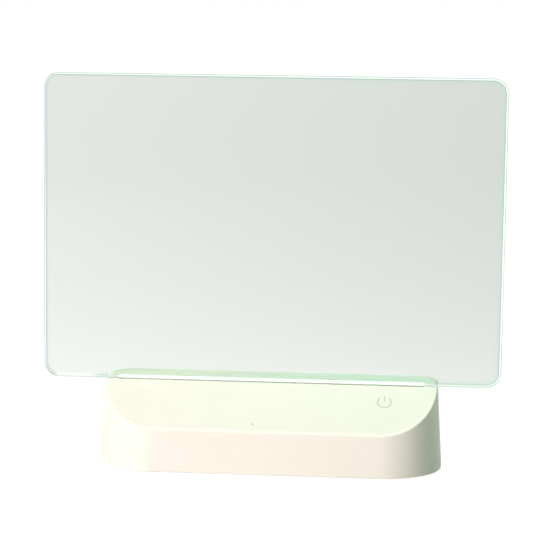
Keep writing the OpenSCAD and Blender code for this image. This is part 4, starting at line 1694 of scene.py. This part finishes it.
@dataclass
class Electronics:
    """What is soldered to the boards: chips, chokes, capacitors, wire sockets, lamps and a spring."""

    key: TouchKey
    long_chip: Chip = Chip(8.7)
    short_chip: Chip = Chip(4.9)
    large_choke: Choke = Choke(6, 3)
    small_choke: Choke = Choke(4, 2)
    can: Can = Can()
    socket: WireSocket = WireSocket()
    led: Led = Led()
    control_chips: tuple[tuple[float, float], ...] = ((30, 9), (44, 9))
    control_choke: tuple[float, float] = (53, 9)
    charge_chip: tuple[float, float] = (7, 11)
    charge_choke: tuple[float, float] = (21, 11)
    capacitors: tuple[tuple[float, float], ...] = ((16, 12), (60, 12))
    sockets: tuple[tuple[float, float], ...] = ((16, 19.5), (32, 19.5), (48, 19.5))
    led_count: int = 20
    spring_r: float = 2.6
    spring_wire: float = 0.25
    spring_turns: int = 3
    spring_steps: int = 36

    def on(self, board: str, spot: Sequence[float]) -> Matrix:
        """Frame on top of a board, at a spot counted from its front left corner."""
        low, high = node_box(board)
        return Matrix.Translation((low[0] + spot[0], low[1] + spot[1], high[2]))

    def chips(self) -> None:
        """Chips and chokes of the three boards. The touch key's chip hangs under its board."""
        first, second = (self.on("control_board", p) for p in self.control_chips)
        over = Matrix.Rotation(math.pi, 4, "X")
        sensor = self.key.frame() @ Matrix.Translation((0, self.key.board_up, self.key.under())) @ over
        groups = {
            "control_chips": [(self.long_chip, first), (self.short_chip, second)],
            "charge_chips": [(self.short_chip, self.on("charge_board", self.charge_chip))],
            "touch_chip": [(self.short_chip, sensor)],
        }
        coils = {
            "control_chips": [(self.large_choke, self.on("control_board", self.control_choke))],
            "charge_chips": [(self.small_choke, self.on("charge_board", self.charge_choke))],
        }
        for node, chips in groups.items():
            bodies = joined([c.body().placed(m) for c, m in chips + coils.get(node, [])])
            add_piece(bodies.to_object(node + "_moulded"), CHIP_BLACK, Body.BASE, [node])
        leads = [c.leads().placed(m) for chips in groups.values() for c, m in chips]
        add_piece(joined(leads).to_object("chip_leads"), TAB_NICKEL, Body.BASE, ())

    def cans(self) -> None:
        """The capacitors of the control board."""
        can = self.can.body()
        cans = joined([can.placed(self.on("control_board", p)) for p in self.capacitors])
        made = cans.to_object("capacitor_cans")
        add_piece(made, CAPACITOR_CAN, Body.BASE, ["control_capacitors"])

    def plugs(self) -> None:
        """The wire sockets of the control board, with their plugs."""
        socket = self.socket.body()
        plugs = joined([socket.placed(self.on("control_board", p)) for p in self.sockets])
        made = plugs.to_object("wire_plugs")
        add_piece(made, SOCKET_WHITE, Body.BASE, ["wire_sockets"])

    def lamps(self) -> None:
        """The row of lamps on the light bar, and the charge light on the control board."""
        low, high = node_box("led_board")
        xs = low[0] + (high[0] - low[0]) * (np.arange(self.led_count) + 0.5) / self.led_count
        row = [Matrix.Translation((x, (low[1] + high[1]) / 2, high[2])) for x in xs]
        pilot_low, pilot_high = node_box("indicator_led")
        place = Matrix.Translation((*((pilot_low + pilot_high) / 2)[:2], pilot_low[2]))
        pilot = replace(self.led, height=pilot_high[2] - pilot_low[2])
        frame_one, glow = self.led.frame(), self.led.phosphor()
        frames = joined([frame_one.placed(m) for m in row]).to_object("lamp_frames")
        add_piece(frames, SOCKET_WHITE, Body.BASE, ["leds"])
        pilot_frame = pilot.frame().placed(place).to_object("pilot_frame")
        add_piece(pilot_frame, SOCKET_WHITE, Body.BASE, ["indicator_led"])
        phosphor = joined([glow.placed(m) for m in row] + [pilot.phosphor().placed(place)])
        add_piece(phosphor.to_object("lamp_phosphor"), LED_PHOSPHOR, Body.BASE, ())

    def coil(self) -> None:
        """Touch spring between its board and the slope: a helix whose height grows with its angle."""
        t = np.linspace(0, 1, self.spring_turns * self.spring_steps + 1)
        angle = 2 * np.pi * self.spring_turns * t
        room = self.spring_wire + self.key.housing.snug
        low = -self.key.housing.roof - self.key.post_h + room
        rise = self.key.post_h - 2 * room
        path = np.stack([self.spring_r * np.cos(angle), self.spring_r * np.sin(angle), low + rise * t], -1)
        spring = tube(path, (0, 0, 1), self.spring_wire).placed(self.key.frame()).to_object("touch_coil")
        add_piece(spring, SPRING_PLATED, Body.BASE, ["touch_spring"])

    def build(self) -> None:
        """Makes all of it."""
        self.chips()
        self.cans()
        self.plugs()
        self.lamps()
        self.coil()


@dataclass
class ChargingInlet:
    """Charging socket: a drawn sleeve with a rolled mouth, and a tongue with two rows of contacts.

    Its frame has x to the right, y up and z into the base, with zero in the middle of the mouth.
    """

    wall: float = 0.3
    back_edge: Profile = ((0.5, 0), (0.1, 0.15), (0, 0.4))
    end_flat: float = 0.1
    roll_steps: int = 6
    corner_steps: int = 9
    tongue: tuple[float, float, float] = (6.7, 0.6, 5.6)
    tongue_tip: tuple[tuple[float, float, float], ...] = ((0, 0, 0.3), (0.12, 0.08, 0.06), (0.3, 0.26, 0))
    tongue_r: float = 0.14
    tongue_steps: int = 3
    contact: tuple[float, float, float] = (0.26, 0.05, 3.4)
    contact_in: float = 0.5
    contact_edge: float = 0.45
    contacts: int = 12

    def sleeve(self, width: float, length: float, height: float) -> Shape:
        """The sleeve, from its back edge over the mouth, which rolls in half a circle, to its inner end.

        Args:
            width: Its width outside.
            length: Its length.
            height: Its height outside.

        Returns:
            The sleeve, in the inlet's frame.
        """
        roll = np.linspace(0, math.pi, self.roll_steps + 1)
        mouth = zip(self.wall * (1 - np.cos(roll)), self.wall / 2 * (1 - np.sin(roll)))
        back = [(inset, length - ahead) for inset, ahead in self.back_edge]
        levels = [*back, *mouth, (2 * self.wall, length - self.wall)]
        sizes = [(width - i, height - i, (height - i) / 2 - self.end_flat) for i, _ in levels]
        lines = [rounded_outline(*size, self.corner_steps)[::-1] for size in sizes]
        return tiers([(line, z) for line, (_, z) in zip(lines, levels)])

    def blade(self, tip: float) -> Shape:
        """The tongue, which narrows at its tip.

        Args:
            tip: Depth of the tip inside the mouth.

        Returns:
            The tongue, in the inlet's frame.
        """
        width, height, length = self.tongue
        levels = [(0, 0, length), *self.tongue_tip]
        sizes = [(width - i, height - j, self.tongue_r, self.tongue_steps) for i, j, _ in levels]
        lines = [rounded_outline(*size)[::-1] for size in sizes]
        return tiers([(line, tip + level[2]) for line, level in zip(lines, levels)])

    def rows(self, tip: float) -> Shape:
        """The rows of contacts on both faces of the tongue.

        Args:
            tip: Depth of the tip inside the mouth.

        Returns:
            All contacts, in the inlet's frame.
        """
        width, height, _ = self.tongue
        w, t, length = self.contact
        span, start = width / 2 - self.contact_edge, tip + self.contact_in
        strip = block((-w / 2, -t / 2, start), (w / 2, t / 2, start + length))
        xs = np.linspace(-span, span, self.contacts)
        return joined([strip.shifted(x, s * height / 2, 0) for x in xs for s in (-1, 1)])

    def build(self) -> None:
        """Makes the sleeve, the tongue and the contacts."""
        low, high = node_box("usb_shell")
        width, length, height = high - low
        centre = (low + high) / 2
        place = Matrix.Translation((centre[0], high[1], centre[2])) @ Matrix.Rotation(math.pi / 2, 4, "X")
        tip = length - self.wall - self.tongue[2]
        shapes = self.sleeve(width, length, height), self.blade(tip), self.rows(tip)
        sleeve, blade, rows = (shape.placed(place) for shape in shapes)
        add_piece(sleeve.to_object("inlet_sleeve"), SOCKET_STEEL, Body.BASE, ["usb_shell"])
        add_piece(blade.to_object("inlet_tongue"), CHIP_BLACK, Body.BASE, ["usb_tongue"])
        add_piece(rows.to_object("inlet_contacts"), SPRING_PLATED, Body.BASE, ())


@dataclass
class Battery:
    """Round cell in a shrink sleeve, whose turned-in ends leave the steel of the can open."""

    open_r: float = 7.3
    edge_r: float = 0.7
    groove: float = 0.25
    groove_from_end: tuple[float, ...] = (5.2, 4.6, 4.2, 3.6)
    lip: tuple[float, float] = (0.25, 0.03)
    disc: Profile = ((0.25, 0.02), (0, 0.1), (0, 0.3))
    edge_steps: int = 6
    sides: int = 64

    def build(self) -> None:
        """Turns the sleeve, with the can's groove near one end, and the two open ends about X."""
        low, high = node_box("battery_cell")
        r, end = (high[2] - low[2]) / 2, high[0] - low[0]
        centre = (low + high) / 2
        place = Matrix.Translation((low[0], centre[1], centre[2])) @ Matrix.Rotation(math.pi / 2, 4, "Y")
        near = arc((r - self.edge_r, self.edge_r), self.edge_r, -90, 0, self.edge_steps)
        far = arc((r - self.edge_r, end - self.edge_r), self.edge_r, 0, 90, self.edge_steps)
        neck = r - self.groove
        tuck, lip = self.lip
        groove = np.column_stack([[r, neck, neck, r], end - np.array(self.groove_from_end)])
        first = [[self.open_r, tuck], [self.open_r, lip]]
        last = [[self.open_r, end - lip], [self.open_r, end - tuck]]
        sleeve = lathe(np.concatenate([first, near, groove, far, last]), self.sides).placed(place)
        add_piece(sleeve.to_object("cell_sleeve"), CELL_WRAP, Body.BASE, ["battery_cell"])
        steel_r = self.open_r - OVERLAP
        disc = lathe(np.array([[steel_r - inset, z] for inset, z in self.disc]), self.sides)
        back = disc.placed(Matrix.Translation((0, 0, end)) @ Matrix.Rotation(math.pi, 4, "X"))
        discs = joined([disc, back]).placed(place).to_object("cell_ends")
        add_piece(discs, TAB_NICKEL, Body.BASE, ())


@dataclass
class BottomCover:
    """Cover inside the housing's lower edge: a bevelled plate with sunk places, posts and a cradle."""

    housing: WedgeHousing
    feet: Feet
    gap: float = 0.25
    bevel: float = 0.35
    head_r: float = 3.0
    head_h: float = 1.5
    shank_r: float = 1.7
    foot_r: float = 5.2
    foot_depth: float = 1
    post_r: float = 2.4
    pilot_r: float = 1.05
    pilot_l: float = 3.4
    pilot_sides: int = 24
    saddle: tuple[float, float] = (4, 16)
    saddle_in: float = 12
    cradle_r: float = 10.3
    cradle_steps: int = 16
    stop: tuple[float, float, float] = (1.5, 8, 11)
    stop_gaps: tuple[float, float] = (0.7, 1.9)
    soft: float = 0.3
    skim: float = 0.01

    def plate(self) -> Shape:
        """The plate: the base's plan, drawn in at its lower edge by a bevel.

        Returns:
            The solid.
        """
        h = self.housing
        inset = h.wall * h.stretch + h.floor_h * h.lean + self.gap
        levels = [(self.bevel, 0), (0, self.bevel), (0, h.floor_h)]
        return tiers([(h.plan(inset + i, h.slot_y0, 0)[:, :2], h.low[2] + z) for i, z in levels])

    def cradle(self) -> list[Shape]:
        """Two saddles under the cell, each hollowed by a circle about its axis, and a stop at each end.

        Returns:
            The four solids.
        """
        low, high = node_box("battery_cell")
        y, z = (low[1] + high[1]) / 2, (low[2] + high[2]) / 2
        floor = self.housing.low[2] + self.housing.floor_h
        root = floor - OVERLAP
        w, d = self.saddle
        reach = math.degrees(math.asin(d / 2 / self.cradle_r))
        bowl = arc((y, z), self.cradle_r, -90 + reach, -90 - reach, self.cradle_steps)
        side = np.concatenate([[[y - d / 2, root], [y + d / 2, root]], bowl])
        xs = low[0] + self.saddle_in, high[0] - self.saddle_in
        made = [prism(side, x - w / 2, x + w / 2).placed(ACROSS) for x in xs]
        t, sd, sh = self.stop
        stop = block((0, y - sd / 2, root), (t, y + sd / 2, floor + sh))
        starts = low[0] - self.stop_gaps[0] - t, high[0] + self.stop_gaps[1]
        return made + [stop.shifted(x, 0, 0) for x in starts]

    def build(self) -> bpy.types.Object:
        """Joins posts and cradle to the plate, then sinks the screw and foot places.

        Returns:
            The finished piece.
        """
        h = self.housing
        low, floor, board = h.low[2], h.low[2] + h.floor_h, node_box("control_board")[0][2]
        spots = [p for places in board_holes().values() for p in places]
        post = rod(self.post_r, floor - OVERLAP, board)
        pilot = rod(self.pilot_r, board - self.pilot_l, board + CLEAR, self.pilot_sides)
        head, foot, soft, under = self.head_r, self.foot_r, self.soft, low - self.skim
        mouth = [[head + soft, under], [head, low + soft], [head, low + self.head_h]]
        sink = lathe(np.array(mouth + [[self.shank_r, low + self.head_h], [self.shank_r, floor + CLEAR]]))
        dish = lathe(np.array([[foot + soft, under], [foot, low + soft], [foot, low + self.foot_depth]]))
        added = [post.shifted(*p, 0) for p in spots] + self.cradle()
        taken = [pilot.shifted(*p, 0) for p in spots] + [sink.shifted(*p, 0) for p in h.boss_places()]
        taken += [dish.shifted(*p, 0) for p in self.feet.places()]
        cover = carve("base_cover", self.plate(), [(Csg.JOIN, joined(added)), (Csg.CUT, joined(taken))])
        return add_piece(cover, COVER_WHITE, Body.BASE, ["bottom_cover"])


@dataclass(frozen=True)
class SoftBox:
    """A square soft box that looks at the object. It can be kept out of mirrors and clear pieces."""

    name: str
    place: tuple[float, float, float]
    size: float
    power: float
    colour: Colour
    mirrored: bool = True

    def build(self, aim: float) -> None:
        """Hangs the lamp.

        Args:
            aim: Height of the spot above the origin that it looks at, in millimetres.
        """
        data = bpy.data.lights.new(self.name, "AREA")
        data.size, data.energy, data.color = self.size * MM, self.power, self.colour
        obj = bpy.data.objects.new(self.name, data)
        bpy.context.scene.collection.objects.link(obj)
        obj.visible_glossy = obj.visible_transmission = self.mirrored
        obj.location = Vector(self.place) * MM
        way = Vector((0, 0, aim)) - Vector(self.place)
        obj.rotation_euler = way.to_track_quat("-Z", "Y").to_euler()


@dataclass
class Studio:
    """Floor, light and camera. The camera stands where the outlines of the object put it."""

    eye: tuple[float, float, float] = (104.1, -1218.8, 282.1)
    yaw: float = -4.784
    pitch: float = 7.343
    roll: float = 0.725
    focal_px: float = 1892.6
    image_px: int = 551
    sensor: float = 36
    clip: tuple[float, float] = (0.05, 50)
    lamps: tuple[SoftBox, ...] = (
        SoftBox("key", (-1273, -1517, 621), 900, 39.4, (1, 0.890, 0.860)),
        SoftBox("glow", (150, -8, 380), 120, 0.285, (0.03, 1, 0.1), mirrored=False),
        SoftBox("top", (100, -900, 1300), 700, 4.3, (0.78, 0.40, 1)),
    )
    aim: float = 90
    fill: Colour = (0.26, 0.345, 0.24)
    back_fill: Colour = (0.92, 0.83, 0.88)
    back_turn: tuple[float, float] = (0.4, 0.9)
    bounce: Colour = (0.206, 0.16, 0.11)
    floor_size: tuple[float, float] = (40000, 10)
    floor_grey: Colour = (0.25, 0.25, 0.245)
    floor_white: float = 0.95
    floor_behind: float = 0.90
    # Painted shadow in the floor's bounce light, round a spot to the right of the base.
    painted_shadow_spot: tuple[float, float] = (180, 20)
    painted_shadow_reach: tuple[float, float] = (40, 190)
    painted_shadow_share: float = 0.1

    @staticmethod
    def straight(path: Signal) -> Signal:
        """1 where a path hasn't met a matt surface yet, else 0."""
        return 1 - path.out("Diffuse Depth").at_most(1)

    def world(self) -> None:
        """White where it is seen straight, mirrored or through clear pieces, else a soft fill."""
        world = bpy.data.worlds.new("studio")
        world.use_nodes = True
        bpy.context.scene.world = world
        tree = Tree(world.node_tree)
        path = tree.node("ShaderNodeLightPath")
        seen = path.out("Is Camera Ray") + path.out("Is Glossy Ray") + path.out("Is Transmission Ray")
        way = tree.node("ShaderNodeTexCoord").out("Generated")
        from_behind = tree.node("ShaderNodeSeparateXYZ", None, {0: way}).out("Y").ramp(*self.back_turn)
        fill = tree.blend(from_behind, self.fill, self.back_fill)
        colour = tree.blend(seen.at_most(1) * self.straight(path), fill, (1, 1, 1))
        shader = tree.node("ShaderNodeBackground", None, {"Color": colour, "Strength": 1.0})
        tree.node("ShaderNodeOutputWorld", None, {"Surface": shader})

    def floor(self) -> None:
        """A pale floor that keeps a soft shadow and is as white as the background elsewhere. Its bounce
        light holds a painted shadow round one spot.
        """
        reach, thick = self.floor_size
        ground = block((-reach, -reach, -thick), (reach, reach, 0)).to_object("floor")
        stuff = bpy.data.materials.new("pale_floor")
        stuff.use_nodes = True
        tree = Tree(stuff.node_tree)
        path = tree.node("ShaderNodeLightPath")
        behind = path.out("Is Transmission Ray").at_least(path.out("Is Glossy Ray")) * self.straight(path)
        lift = (behind * self.floor_behind).at_least(path.out("Is Camera Ray") * self.floor_white)
        matt = tree.node("ShaderNodeBsdfDiffuse", None, {"Color": (*self.floor_grey, 1)})
        colour = tree.blend(path.out("Is Diffuse Ray"), (1, 1, 1), self.bounce)
        x, y, _ = tree.axes_mm()
        # Painted shadow: the bounce is dimmer near the spot.
        away = ((x - self.painted_shadow_spot[0]) ** 2 + (y - self.painted_shadow_spot[1]) ** 2) ** 0.5
        shade = away.ramp(*self.painted_shadow_reach, self.painted_shadow_share, 1)
        strength = lift.at_least(path.out("Is Diffuse Ray") * shade)
        glow = tree.node("ShaderNodeEmission", None, {"Color": colour, "Strength": strength})
        tree.finish(tree.node("ShaderNodeAddShader", None, {0: matt, 1: glow}))
        ground.data.materials.append(stuff)

    def camera(self) -> None:
        """The camera, turned by its yaw, pitch and roll, with the image as wide as the sensor."""
        yaw, pitch, roll = (math.radians(a) for a in (self.yaw, self.pitch, self.roll))
        ahead = Vector((math.sin(yaw) * math.cos(pitch), math.cos(yaw) * math.cos(pitch), -math.sin(pitch)))
        right = Vector((math.cos(yaw), -math.sin(yaw), 0))
        up = right.cross(ahead)
        across = math.cos(roll) * right + math.sin(roll) * up
        above = math.cos(roll) * up - math.sin(roll) * right
        data = bpy.data.cameras.new("camera")
        data.sensor_width = self.sensor
        data.lens = self.sensor * self.focal_px / self.image_px
        data.clip_start, data.clip_end = self.clip
        obj = bpy.data.objects.new("camera", data)
        turn = Matrix((across, above, -ahead)).transposed().to_4x4()
        obj.matrix_world = Matrix.Translation(Vector(self.eye) * MM) @ turn
        bpy.context.scene.collection.objects.link(obj)
        bpy.context.scene.camera = obj

    def build(self) -> None:
        """Sets the stage."""
        bpy.context.scene.view_settings.view_transform = "Standard"
        self.world()
        self.floor()
        for lamp in self.lamps:
            lamp.build(self.aim)
        self.camera()


def main() -> None:
    """Builds the board piece by piece, then the stage."""
    logging.basicConfig(level=logging.INFO, format="%(name)s: %(message)s")
    for finish, nodes in CARRIED.items():
        for name in nodes:
            finish.dress(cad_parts[name])
    housing = WedgeHousing()
    key = TouchKey(housing)
    housing.build(key.posts(), key.grooves())
    key.build()
    WritingPanel(housing).build()
    feet = Feet()
    feet.build()
    BottomCover(housing, feet).build()
    Fixings(housing, key).build()
    Electronics(key).build()
    ChargingInlet().build()
    Battery().build()
    Studio().build()


if __name__ == "__main__":
    main()
